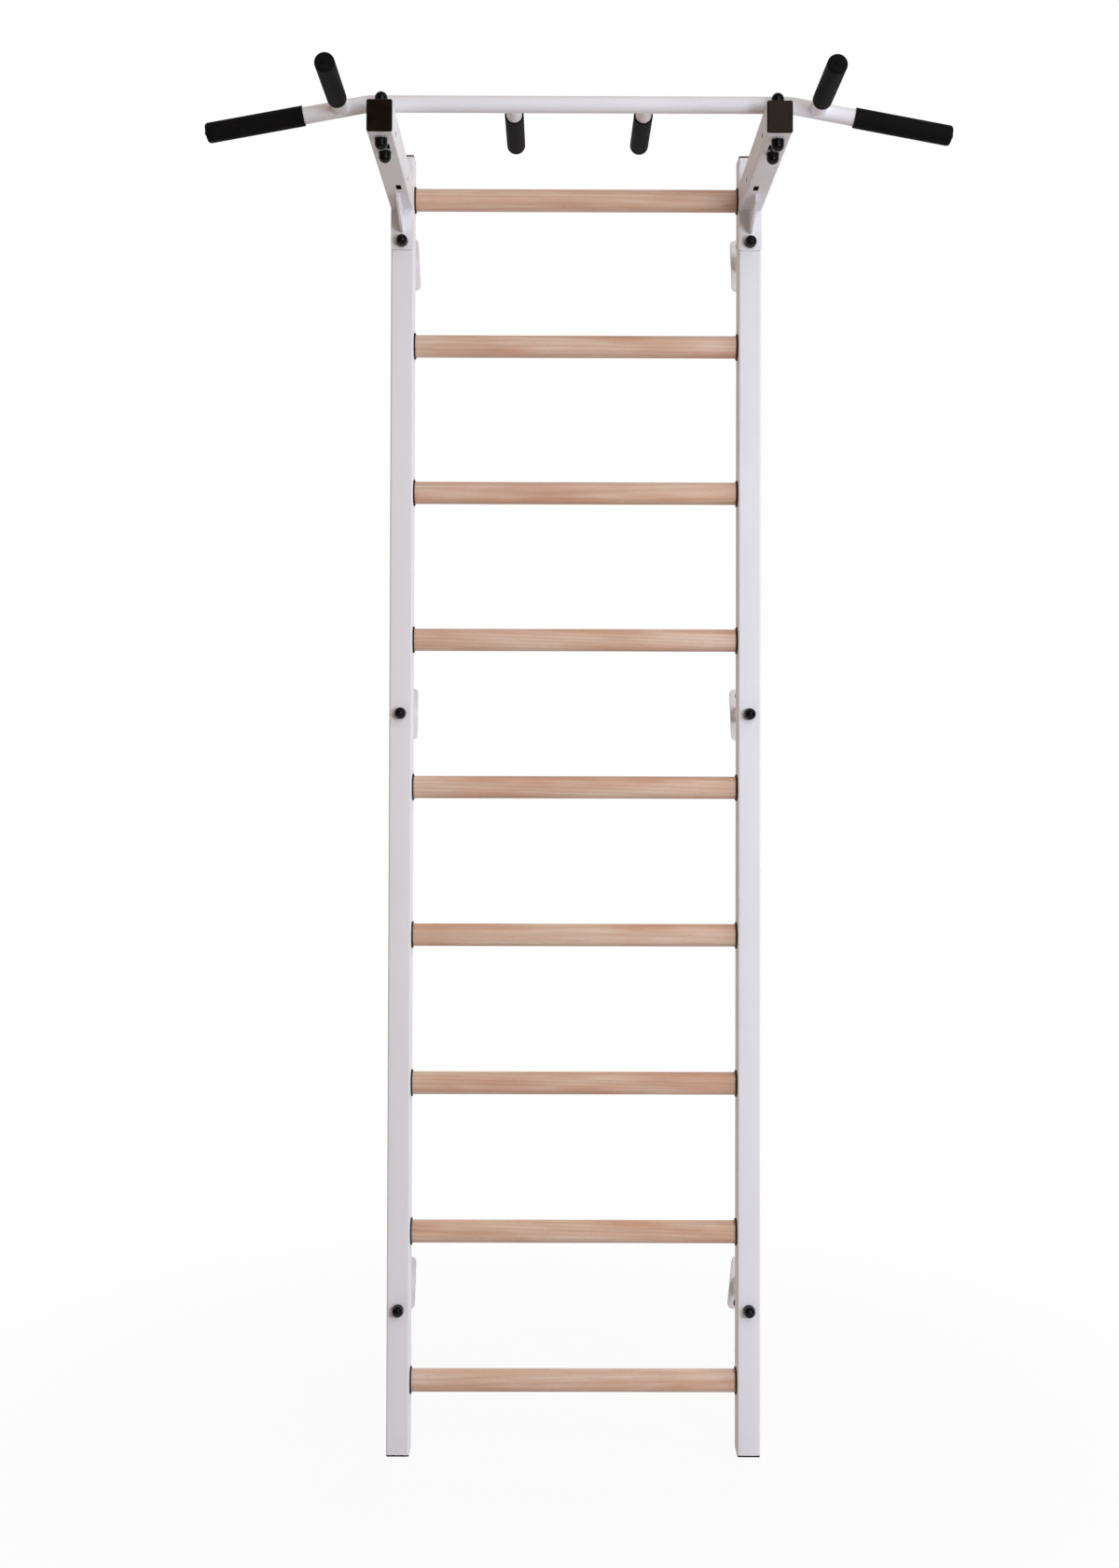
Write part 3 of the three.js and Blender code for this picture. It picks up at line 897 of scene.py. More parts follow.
@dataclass
class Plugs:
    """The black plugs that close the ends of the uprights and the arms."""

    width: float = 40.0
    depth: float = 50.0
    head: float = 3.0
    skirt: float = 15.0
    corner: float = 3.0
    brim: float = 1.5
    fit: float = 2.3
    lead_in: float = 0.6

    def shape(self) -> bpy.types.Object:
        """Models one plug, with its head below z = 0 and its skirt above.

        Returns:
            The plug at the origin.
        """
        piece = block("plug", (self.width, self.depth, self.head), (0, 0, -self.head / 2))
        rounded(piece, lambda edge: run(edge).z > 0.9, self.corner, 5)
        rounded(piece, lambda edge: middle(edge).z < (0.1 - self.head) * MM, self.brim, 3)
        with editing(piece):
            pick(piece, Element.FACE, lambda face: face.normal.z > 0.99)
            bpy.ops.mesh.inset(thickness=self.fit * MM)
            bpy.ops.mesh.extrude_region_move(TRANSFORM_OT_translate={"value": (0, 0, (self.skirt - 1) * MM)})
            bpy.ops.mesh.inset(thickness=self.lead_in * MM, depth=MM)
        smoothed(piece, 40)
        return piece

    def build(self) -> None:
        """Puts a plug in each end of the uprights and in the front of each arm."""
        master = self.shape()
        half_turn = Matrix.Rotation(math.pi, 4, "X")
        to_front = Matrix.Rotation(-math.pi / 2, 4, "X")
        for side in Side:
            for end, turn in (("foot_cap", Matrix()), ("top_cap", half_turn), ("arm_cap", to_front)):
                node = f"{side.word}_{end}"
                low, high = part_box(node)
                seat = (low + high) / 2
                if end == "foot_cap":
                    seat.z = low.z + self.head * MM
                elif end == "top_cap":
                    seat.z = high.z - self.head * MM
                else:
                    seat.y = low.y + self.head * MM
                piece = copied(master, f"{node}_plug", Matrix.Translation(seat) @ turn)
                finished(piece, PLASTIC, stands_for=node)
        discard(master)


@dataclass
class Rungs:
    """The nine oval beech rungs, each cut from its own place in a plank."""

    PLANK = "plank"
    count: int = 9
    height: float = 40.0
    depth: float = 30.0
    end_round: float = 1.5
    sides: int = 48
    seed: int = 5

    def shape(self) -> bpy.types.Object:
        """Models one rung along X.

        Returns:
            The rung at the origin.
        """
        low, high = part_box("rung_1")
        half = (high.x - low.x) / 2 / MM
        radius = self.depth / 2
        profile = [(0.0, -half)]
        profile += arc((radius - self.end_round, self.end_round - half), self.end_round, -90, 0, 3)
        profile += arc((radius - self.end_round, half - self.end_round), self.end_round, 0, 90, 3)
        profile += [(0.0, half)]
        piece = turned("rung", profile, self.sides)
        settle(piece, Matrix.Rotation(math.pi / 2, 4, "Y"))
        stretched(piece, (self.height - self.depth) / 2)
        smoothed(piece, 40)
        return piece

    def cut_from_plank(self, piece: bpy.types.Object, centre: Vector, chance: random.Random) -> None:
        """Writes on a rung where each of its points lay in the plank, which its grain follows.

        Args:
            piece: The rung, in its place.
            centre: The rung's middle.
            chance: Gives the turn and the place of each cut.
        """
        turn = Matrix.Rotation(chance.uniform(0, FULL_TURN), 4, "X") @ Matrix.Rotation(chance.uniform(-0.03, 0.03), 4, "Y")
        shift = Vector((chance.uniform(-3, 3), chance.uniform(25, 60) * MM, chance.uniform(-10, 10) * MM))
        mark = piece.data.attributes.new(self.PLANK, "FLOAT_VECTOR", "POINT")
        for point, value in zip(piece.data.vertices, mark.data, strict=True):
            value.vector = turn @ (point.co - centre) + shift

    def build(self) -> None:
        """Puts every rung in its place."""
        master = self.shape()
        chance = random.Random(self.seed)
        for i in range(1, self.count + 1):
            node = f"rung_{i}"
            centre = centre_of(node)
            piece = copied(master, f"{node}_oval", Matrix.Translation(centre))
            self.cut_from_plank(piece, centre, chance)
            finished(piece, BEECH, stands_for=node)
        discard(master)


@dataclass
class Collars:
    """The black bushes round the rungs' ends, with a rounded flange on the upright."""

    count: int = 9
    bore: float = 15.3
    sleeve: float = 17.3
    flange: float = 18.8
    thick: float = 2.6
    length: float = 16.0
    brim: float = 1.2
    chamfer: float = 0.5
    stretch: float = 5.0
    sides: int = 48

    def shape(self) -> bpy.types.Object:
        """Models one collar with the back of its flange at x = 0 and its sleeve along +X.

        Returns:
            The collar at the origin.
        """
        front, lip = -self.thick, self.chamfer
        profile = [(self.bore, self.length), (self.bore, front + lip), (self.bore + lip, front)]
        profile += arc((self.flange - self.brim, front + self.brim), self.brim, -90, 0, 4)
        profile += [(self.flange, -0.3), (self.flange - 0.3, 0.0), (self.sleeve, 0.0)]
        profile += [(self.sleeve, self.length - lip), (self.sleeve - lip, self.length), (self.bore, self.length)]
        piece = turned("collar", profile, self.sides)
        settle(piece, Matrix.Rotation(math.pi / 2, 4, "Y"))
        stretched(piece, self.stretch)
        smoothed(piece, 40)
        return piece

    def build(self) -> None:
        """Puts a collar on each end of every rung."""
        master = self.shape()
        for side in Side:
            turn = Matrix() if side is Side.RIGHT else Matrix.Rotation(math.pi, 4, "Z")
            for i in range(1, self.count + 1):
                node = f"{side.word}_collar_{i}"
                low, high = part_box(node)
                seat = (low + high) / 2
                seat.x = high.x - self.length * MM if side is Side.RIGHT else low.x + self.length * MM
                piece = copied(master, f"{node}_bush", Matrix.Translation(seat) @ turn)
                finished(piece, MATT, stands_for=node)
        discard(master)


# What holds it


@dataclass
class Bolts:
    """The bolts with their washers and dome caps, on the uprights and through the arms."""

    dome: float = 10.5
    skirt: float = 8.0
    flange: float = 1.6
    groove: float = 0.4
    washer: float = 10.0
    washer_hole: float = 5.3
    washer_thick: float = 2.0
    shank: float = 5.0
    chamfer: float = 0.8
    sides: int = 40

    @property
    def cap_height(self) -> float:
        """Height of a dome cap in millimetres."""
        return self.skirt + self.dome

    def cap_shape(self) -> bpy.types.Object:
        """Models one dome cap that stands on z = 0.

        Returns:
            The cap at the origin.
        """
        neck, soft = self.dome - self.groove, 0.3
        profile = [(0.0, 0.0), (self.dome - soft, 0.0), (self.dome, soft), (self.dome, self.flange - soft)]
        profile += [(self.dome - soft, self.flange), (neck, self.flange + soft), (neck, self.skirt - 2 * soft)]
        profile += [(neck - soft, self.skirt - soft), (neck, self.skirt)]
        profile += arc((0.0, self.skirt), neck, 3, 86, 16)
        profile += [(0.0, self.skirt + neck)]
        piece = turned("dome_cap", profile, self.sides)
        smoothed(piece, 50)
        return piece

    def washer_shape(self) -> bpy.types.Object:
        """Models one washer that stands on z = 0.

        Returns:
            The washer at the origin.
        """
        top, edge = self.washer_thick, 0.3
        profile = [(self.washer_hole, 0.0), (self.washer - edge, 0.0), (self.washer, edge)]
        profile += [(self.washer, top - edge), (self.washer - edge, top), (self.washer_hole, top)]
        profile += [profile[0]]
        piece = turned("washer", profile, self.sides)
        smoothed(piece, 30)
        return piece

    def shank_shape(self, length: float) -> bpy.types.Object:
        """Models a bolt's shank from z = 0 down, with a chamfered end.

        Args:
            length: Its length in millimetres.

        Returns:
            The shank at the origin.
        """
        end = -length
        profile = [(0.0, end), (self.shank - self.chamfer, end), (self.shank, end + self.chamfer)]
        profile += [(self.shank, 0.0), (0.0, 0.0)]
        piece = turned("shank", profile, self.sides)
        smoothed(piece, 30)
        return piece

    def place_wall_bolts(self, cap: bpy.types.Object, washer: bpy.types.Object) -> None:
        """Puts the six bolts through the uprights.

        Args:
            cap: The dome cap that repeats.
            washer: The washer that repeats.
        """
        forward = Matrix.Rotation(math.pi / 2, 4, "X")
        for row in Row:
            for side in Side:
                node = f"wall_bolt_{row.value}_{side.word}"
                low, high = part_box(node)
                seat = (low + high) / 2
                seat.y = low.y + (self.cap_height + self.washer_thick) * MM
                on_washer = seat - Vector((0, self.washer_thick * MM, 0))
                shank = self.shank_shape((high.y - seat.y) / MM)
                settle(shank, Matrix.Translation(seat) @ forward)
                shank.name = f"{node}_shank"
                finished(shank, ZINC)
                finished(copied(washer, f"{node}_washer", Matrix.Translation(seat) @ forward), BLACK_ZINC)
                piece = copied(cap, f"{node}_cap", Matrix.Translation(on_washer) @ forward)
                finished(piece, POLISHED, stands_for=node)

    def place_clamp_bolts(self, cap: bpy.types.Object, washer: bpy.types.Object) -> None:
        """Puts the four bolts through the arms, with a cap at both ends.

        Args:
            cap: The dome cap that repeats.
            washer: The washer that repeats.
        """
        down = Matrix.Rotation(math.pi, 4, "X")
        for side in Side:
            for where in ("front", "back"):
                node = f"{side.word}_{where}_clamp_bolt"
                low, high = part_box(node)
                hang, stand = (low + high) / 2, (low + high) / 2
                hang.z = low.z + self.cap_height * MM
                stand.z = high.z - self.cap_height * MM
                shank = self.shank_shape((stand.z - hang.z) / MM)
                settle(shank, Matrix.Translation(stand))
                shank.name = f"{node}_shank"
                finished(shank, ZINC)
                finished(copied(washer, f"{node}_washer", Matrix.Translation(hang)), ZINC)
                finished(copied(cap, f"{node}_upper_cap", Matrix.Translation(stand)), POLISHED)
                piece = copied(cap, f"{node}_lower_cap", Matrix.Translation(hang) @ down)
                finished(piece, POLISHED, stands_for=node)

    def build(self) -> None:
        """Models the pieces of a bolt once and puts all bolts in place."""
        cap, washer = self.cap_shape(), self.washer_shape()
        self.place_wall_bolts(cap, washer)
        self.place_clamp_bolts(cap, washer)
        discard(cap, washer)


@dataclass
class WallBrackets:
    """The six plates with a welded standoff, each at the angle at which it rests."""

    width: float = 38.0
    height: float = 95.0
    thick: float = 5.0
    corner: float = 9.0
    edge: float = 0.6
    screw_pitch: float = 70.0
    screw: float = 5.0
    sink: float = 9.0
    standoff: float = 13.5
    standoff_wall: float = 3.0
    reach: float = 109.7
    thread: float = 12.0
    thread_hole: float = 5.5
    weld: float = 2.2
    sides: int = 48
    tilts: dict[tuple[Row, Side], float] = field(
        default_factory=lambda: {
            (Row.BOTTOM, Side.LEFT): -1.6,
            (Row.BOTTOM, Side.RIGHT): -5.4,
            (Row.MIDDLE, Side.LEFT): -0.7,
            (Row.MIDDLE, Side.RIGHT): 2.6,
            (Row.TOP, Side.LEFT): 3.4,
            (Row.TOP, Side.RIGHT): 2.5,
        }
    )

    def shape(self) -> bpy.types.Object:
        """Models one bracket with its plate on z = 0 and its standoff along +Z.

        Returns:
            The bracket at the origin.
        """
        piece = block("bracket", (self.width, self.height, self.thick), (0, 0, self.thick / 2))
        rounded(piece, lambda edge: run(edge).z > 0.9, self.corner, 8)
        rounded(piece, lambda edge: run(edge).z < 0.1 and middle(edge).z > 0.9 * self.thick * MM, self.edge, 2)
        depth = self.sink - self.screw
        for end in (-1, 1):
            profile = [(0.0, -self.thick), (self.screw, -self.thick), (self.screw, self.thick - depth)]
            profile += [(self.sink, self.thick), (self.sink, 2 * self.thick), (0.0, 2 * self.thick)]
            cutter = turned("screw_hole", profile, self.sides)
            settle(cutter, Matrix.Translation((0, end * self.screw_pitch / 2 * MM, 0)))
            carved(piece, cutter, "DIFFERENCE")
        inner = self.standoff - self.standoff_wall
        inside = self.reach - self.thread
        profile = [(inner, 0.6 * self.thick), (self.standoff, 0.6 * self.thick)]
        profile += [(self.standoff, self.reach - self.edge), (self.standoff - self.edge, self.reach)]
        profile += [(self.thread_hole, self.reach), (self.thread_hole, inside), (inner, inside)]
        profile += [profile[0]]
        carved(piece, turned("standoff", profile, self.sides), "UNION")
        self.bare_and_shaded_holes(piece)
        smoothed(piece, 35)
        return piece

    def bare_and_shaded_holes(self, piece: bpy.types.Object) -> None:
        """Colours the screw holes as bare steel cut through the paint, in a darker brownish grey that also paints the
        shade in the holes.

        Args:
            piece: The bracket at the origin.
        """
        piece.data.materials.clear()
        piece.data.materials.append(PAINT.material())
        # The second material is bare steel with painted shade, for the bores and countersinks.
        piece.data.materials.append(CUT_STEEL_AND_SHADE.material())
        for face in piece.data.polygons:
            x, y, z = face.center / MM
            away = math.hypot(x, abs(y) - self.screw_pitch / 2)
            face.material_index = int(away < self.sink + 0.1 and abs(face.normal.z) < 0.99 and z < self.thick)

    def weld_shape(self) -> bpy.types.Object:
        """Models the rippled weld round the foot of a standoff.

        Returns:
            The weld at the origin.
        """
        deselect()
        bpy.ops.mesh.primitive_torus_add(
            major_segments=120,
            minor_segments=10,
            major_radius=(self.standoff + 0.2 * self.weld) * MM,
            minor_radius=self.weld * MM,
            location=(0, 0, self.thick * MM),
        )
        piece = bpy.context.object
        bpy.ops.object.transform_apply(location=True, rotation=True, scale=True)
        with editing(piece):
            pick(piece, Element.POINT, lambda point: round(math.atan2(point.co.y, point.co.x) / FULL_TURN * 120) % 3 == 0)
            bpy.ops.transform.resize(value=(0.985, 0.985, 0.985))
        smoothed(piece, 80)
        return piece

    def build(self) -> None:
        """Puts a bracket behind each bolt, each on a body of its own."""
        master, weld = self.shape(), self.weld_shape()
        for (row, side), tilt in self.tilts.items():
            where = f"{row.value}_{side.word}"
            node, body = f"wall_bracket_{where}", f"bracket_{where}"
            foot = centre_of(node)
            foot.y = 0.0
            swing = Matrix.Rotation(math.radians(-tilt), 4, "Y")
            matrix = Matrix.Translation(foot) @ swing @ Matrix.Rotation(math.pi / 2, 4, "X")
            finished(copied(weld, f"{node}_weld", matrix), PAINT, body)
            finished(copied(master, f"{node}_plate", matrix), PAINT, body, stands_for=node)
        discard(master, weld)


# The pull-up bar


@dataclass
class Arms:
    """The two arms with their base plates, gussets and welds."""

    nodes: dict[str, bpy.types.Object]
    middle_x: float = 309.0
    plate_y: float = -165.0
    underside: float = 2200.0
    tube_height: float = 50.0
    tube_width: float = 40.0
    wall: float = 2.0
    gusset: float = 4.0
    gusset_length: float = 103.0
    gusset_drop: float = 40.0
    gusset_clip: float = 7.0
    slots_from: float = -280.0
    weld: float = 2.4
    fillet: float = 1.5
    crisp: float = 50.0

    def paint_shade_inside(self, piece: bpy.types.Object, middle_x: float) -> None:
        """Paints shade on the inside of the tube, the strap slots and the peg holes: a near-black that stands in for
        the shade where little light gets in.

        Args:
            piece: The arm.
            middle_x: The arm's middle in millimetres.
        """
        piece.data.materials.append(PAINT.material())
        piece.data.materials.append(PAINTED_SHADE_INSIDE.material())
        half = self.tube_width / 2
        low, high = self.underside + self.wall / 2, self.underside + self.tube_height - self.wall / 2
        for face in piece.data.polygons:
            x, y, z = face.center / MM
            within = low < z < high and y < self.plate_y - 1
            inside = abs(x - middle_x) < half - self.wall / 2
            bored = abs(face.normal.x) < 0.1 and abs(x - middle_x) < half - 0.1
            punched = abs(z - self.underside - self.wall / 2) < self.wall / 4 and abs(face.normal.z) < 0.1
            # Faces inside the tube, in the slots and in the peg holes get the near-black painted shade.
            dark = within and (inside or bored) or punched and abs(x - middle_x) < half - 1 and y < self.slots_from
            face.material_index = 1 if dark else 0

    def weld_shape(self, name: str, middle_x: float) -> bpy.types.Object:
        """Lays the welds of one arm: over and under the tube, and down both sides of the gusset.

        Args:
            name: The piece's name.
            middle_x: The arm's middle in millimetres.

        Returns:
            The welds in their place.
        """
        across = self.tube_width / 2 - 3
        top = self.underside + self.tube_height
        y, low = self.plate_y, self.underside
        beads = [bead("top", (middle_x - across, y, top), (middle_x + across, y, top), self.weld)]
        for side in (-1, 1):
            flank = middle_x + side * self.gusset / 2
            near, far = self.gusset_clip + 1, self.gusset_length - 2
            beads.append(bead("under", (middle_x + side, y, low), (middle_x + side * across, y, low), self.weld))
            beads.append(bead("along", (flank, y - near, low), (flank, y - far, low), self.fillet))
            beads.append(bead("down", (flank, y, low - near), (flank, y, low - self.gusset_drop + 2), self.fillet))
        return joined(name, beads)

    def build(self) -> None:
        """Smooths and paints both arms, and adds their welds."""
        for side in Side:
            node = f"{side.word}_arm"
            middle_x = side.value * self.middle_x
            piece = merged_copy(self.nodes[node], f"{node}_weldment")
            self.paint_shade_inside(piece, middle_x)
            smoothed(piece, self.crisp)
            finished(piece, PAINT, stands_for=node)
            finished(self.weld_shape(f"{node}_welds", middle_x), PAINT)


@dataclass
class PullUpBar:
    """The bent bar with its four welded handles and two foot plates."""

    axis_y: float = -526.0
    axis_z: float = 2263.3
    radius: float = 13.0
    half_span: float = 331.0
    bend: float = 80.0
    wing_angle: float = 10.6
    wing_length: float = 257.0
    handle: float = 12.5
    handle_length: float = 201.0
    front_x: float = 376.0
    back_x: float = 103.5
    foot_x: float = 309.0
    foot: Place = (36.0, 94.0, 3.0)
    foot_edge: float = 0.5
    weld: float = 2.3
    sides: int = 48

    @property
    def turn(self) -> float:
        """The wings' slope in radians."""
        return math.radians(self.wing_angle)

    @property
    def home(self) -> Matrix:
        """Moves a piece from the bar's own middle to its place."""
        return Matrix.Translation(Vector((0, self.axis_y, self.axis_z)) * MM)

    def handle_roots(self) -> list[tuple[str, Vector, int, float]]:
        """Lists the handles.

        Returns:
            Each handle's name, its root from the bar's middle in metres, its sign along Y and the bar's slope there.
        """
        drop = (self.front_x - self.half_span) * math.tan(self.turn)
        found = []
        for side in Side:
            front = Vector((side.value * self.front_x, 0, -drop)) * MM
            back = Vector((side.value * self.back_x, 0, 0)) * MM
            found.append((f"{side.word}_front", front, -1, side.value * self.turn))
            found.append((f"{side.word}_back", back, 1, 0.0))
        return found

    def tube_shape(self) -> bpy.types.Object:
        """Models the bent tube: a ring pulled from the middle, spun round the bend and pulled out along the wing.

        Returns:
            The tube about the bar's own middle.
        """
        tangent = self.bend * math.tan(self.turn / 2)
        start = (self.half_span - tangent) * MM
        wing = (self.wing_length - tangent) * MM
        deselect()
        bpy.ops.mesh.primitive_circle_add(vertices=self.sides, radius=self.radius * MM, rotation=(0, math.pi / 2, 0))
        piece = bpy.context.object
        bpy.ops.object.transform_apply(location=True, rotation=True, scale=True)
        # Half a facet of turn keeps the tube's edges off those of the handles and the foot plates.
        settle(piece, Matrix.Rotation(math.pi / self.sides, 4, "X"))
        with editing(piece):
            bpy.ops.mesh.select_mode(type=Element.EDGE.value)
            bpy.ops.mesh.select_all(action="SELECT")
            bpy.ops.mesh.extrude_region_move(TRANSFORM_OT_translate={"value": (start, 0, 0)})
            bpy.ops.mesh.spin(steps=8, angle=self.turn, center=(start, 0, -self.bend * MM), axis=(0, -1, 0))
            pull = (wing * math.cos(self.turn), 0, -wing * math.sin(self.turn))
            bpy.ops.mesh.extrude_region_move(TRANSFORM_OT_translate={"value": pull})
            bpy.ops.mesh.edge_face_add()
        bpy.ops.object.modifier_add(type="MIRROR")
        bpy.ops.object.modifier_apply(modifier=piece.modifiers[-1].name)
        with editing(piece):
            bpy.ops.mesh.select_all(action="SELECT")
            bpy.ops.mesh.remove_doubles(threshold=SAME_PLACE)
            bpy.ops.mesh.normals_make_consistent(inside=False)
        return piece

    def foot_shape(self, x: float) -> bpy.types.Object:
        """Models one foot plate under the bar.

        Args:
            x: Its middle in millimetres.

        Returns:
            The plate about the bar's own middle.
        """
        piece = block("foot", self.foot, (x, 0, self.foot[2] / 2 - self.radius))
        rounded(piece, lambda edge: run(edge).z > 0.9, 4.0, 5)
        rounded(piece, lambda edge: run(edge).z < 0.1, self.foot_edge, 2)
        return piece

    def shape(self) -> bpy.types.Object:
        """Unites the tube, the handles and the foot plates.

        Returns:
            The bar in its place.
        """
        piece = self.tube_shape()
        for name, root, way, _ in self.handle_roots():
            end, soft = self.handle_length, 0.5
            profile = [(0.0, 0.0), (self.handle, 0.0), (self.handle, self.radius + self.weld), (self.handle, end - soft)]
            profile += [(self.handle - soft, end), (0.0, end)]
            tube = turned(name, profile, self.sides)
            settle(tube, Matrix.Translation(root) @ Matrix.Rotation(-way * math.pi / 2, 4, "X"))
            carved(piece, tube, "UNION")
        for side in Side:
            carved(piece, self.foot_shape(side.value * self.foot_x), "UNION")
        settle(piece, self.home)
        smoothed(piece, 35)
        piece.name = piece.data.name = "pull_up_bar_weldment"
        return piece

    def saddle(self, name: str, root: Vector, way: int, slope: float) -> bpy.types.Object:
        """Lays the weld where a handle leaves the bar, on the curve in which the two tubes meet.

        Args:
            name: The weld's name.
            root: The handle's root from the bar's middle.
            way: The handle's sign along Y.
            slope: The bar's slope at the handle.

        Returns:
            The weld about the bar's own middle.
        """
        deselect()
        bpy.ops.mesh.primitive_torus_add(
            major_segments=96, minor_segments=10, major_radius=self.handle * MM, minor_radius=self.weld * MM
        )
        piece = bpy.context.object
        piece.name = name
        reach, across = self.radius * MM, 0.97 * self.handle * MM
        for i, point in enumerate(piece.data.vertices):
            turn = math.atan2(point.co.y, point.co.x)
            lift = math.sqrt(reach**2 - (across * math.sin(turn)) ** 2)
            thin = 1 - 0.35 * math.sin(turn) ** 2 - (0.1 if i // 10 % 3 == 0 else 0.0)
            ring = Vector((math.cos(turn), math.sin(turn), 0)) * self.handle * MM
            point.co = ring + (point.co - ring) * thin + Vector((0, 0, lift))
        settle(
            piece,
            Matrix.Translation(root)
            @ Matrix.Rotation(slope, 4, "Y")
            @ Matrix.Rotation(-way * math.pi / 2, 4, "X"),
        )
        smoothed(piece, 80)
        return piece

    def weld_shape(self) -> bpy.types.Object:
        """Lays all welds of the bar.

        Returns:
            The welds in their place.
        """
        welds = [self.saddle(name, root, way, slope) for name, root, way, slope in self.handle_roots()]
        width, _, thick = self.foot
        up = thick - self.radius
        out = math.sqrt(self.radius**2 - up**2)
        for side in Side:
            left, right = side.value * self.foot_x - width / 2 + 2, side.value * self.foot_x + width / 2 - 2
            welds += [bead("foot", (left, s * out, up), (right, s * out, up), self.weld) for s in (-1, 1)]
        return settle(joined("pull_up_bar_welds", welds), self.home)

    def build(self) -> None:
        """Puts the bar and its welds on the arms."""
        finished(self.shape(), PAINT, stands_for="pull_up_bar")
        finished(self.weld_shape(), PAINT)


@dataclass
class Grips:
    """The six foam sleeves on the ends of the bar and its handles."""

    bar: PullUpBar
    length: float = 156.0
    slip: float = 0.3
    wall: float = 2.5
    end: float = 3.0
    touch: float = 0.3
    round_end: float = 5.5
    lip: float = 0.9
    nub: float = 3.2
    nub_height: float = 2.0
    pit: float = 0.8
    sides: int = 56

    def shape(self, tube: float) -> bpy.types.Object:
        """Models one grip along +Z, on a tube that ends at z = 0.

        Args:
            tube: The tube's radius in millimetres.

        Returns:
            The grip at the origin.
        """
        inner = tube + self.slip
        outer = inner + self.wall
        tip = self.touch + self.end
        base = tip - self.length
        profile = [(0.0, self.touch), (inner, self.touch), (inner, base + 0.3), (inner + 0.3, base)]
        profile += arc((outer - self.lip, base + self.lip), self.lip, -90, 0, 4)
        profile += [(outer, base + 0.3 * self.length), (outer, base + 0.7 * self.length)]
        profile += arc((outer - self.round_end, tip - self.round_end), self.round_end, 0, 90, 8)
        profile += [(self.nub + 0.8, tip), (self.nub + 0.3, tip + 0.15), (self.nub, tip + 0.6)]
        profile += arc((self.nub - 0.4, tip + self.nub_height - 0.4), 0.4, 0, 90, 3)
        profile += [(self.pit, tip + self.nub_height), (0.5 * self.pit, tip), (0.0, tip - 0.1)]
        piece = turned("grip", profile, self.sides)
        smoothed(piece, 60)
        return piece

    def places(self) -> list[tuple[str, float, Matrix]]:
        """Lists where the grips go.

        Returns:
            Each grip's node, the radius of its tube, and where its tube ends.
        """
        bar = self.bar
        found = []
        for name, root, way, _ in bar.handle_roots():
            end = root + Vector((0, way * bar.handle_length * MM, 0))
            turn = Matrix.Rotation(-way * math.pi / 2, 4, "X")
            found.append((f"{name}_grip", bar.handle, bar.home @ Matrix.Translation(end) @ turn))
        for side in Side:
            way = Vector((side.value * math.cos(bar.turn), 0, -math.sin(bar.turn)))
            end = Vector((side.value * bar.half_span * MM, 0, 0)) + way * bar.wing_length * MM
            turn = way.to_track_quat("Z", "Y").to_matrix().to_4x4()
            found.append((f"{side.word}_wing_grip", bar.radius, bar.home @ Matrix.Translation(end) @ turn))
        return found

    def build(self) -> None:
        """Pushes a grip on each end."""
        masters = {radius: self.shape(radius) for radius in (self.bar.radius, self.bar.handle)}
        for node, radius, matrix in self.places():
            piece = copied(masters[radius], f"{node}_foam", matrix)
            finished(piece, FOAM, stands_for=node)
        discard(*masters.values())


# The studio


@dataclass(frozen=True)
class Lamp:
    """A soft lamp: where it stands, what it looks at, its size in metres, its power, its colour and its shine."""

    name: str
    place: Place
    target: Place
    size: float
    power: float
    colour: str
    mirrored: bool = True

    def build(self) -> None:
        """Sets the lamp up."""
        way = Vector(self.target) - Vector(self.place)
        deselect()
        bpy.ops.object.light_add(type="AREA", location=self.place, rotation=way.to_track_quat("-Z", "Y").to_euler())
        lamp = bpy.context.object
        lamp.name = self.name
        lamp.data.shape = "DISK"
        lamp.data.size = self.size
        lamp.data.energy = self.power
        lamp.data.color = linear(self.colour)[:3]
        lamp.visible_glossy = self.mirrored
        lamp.visible_camera = False


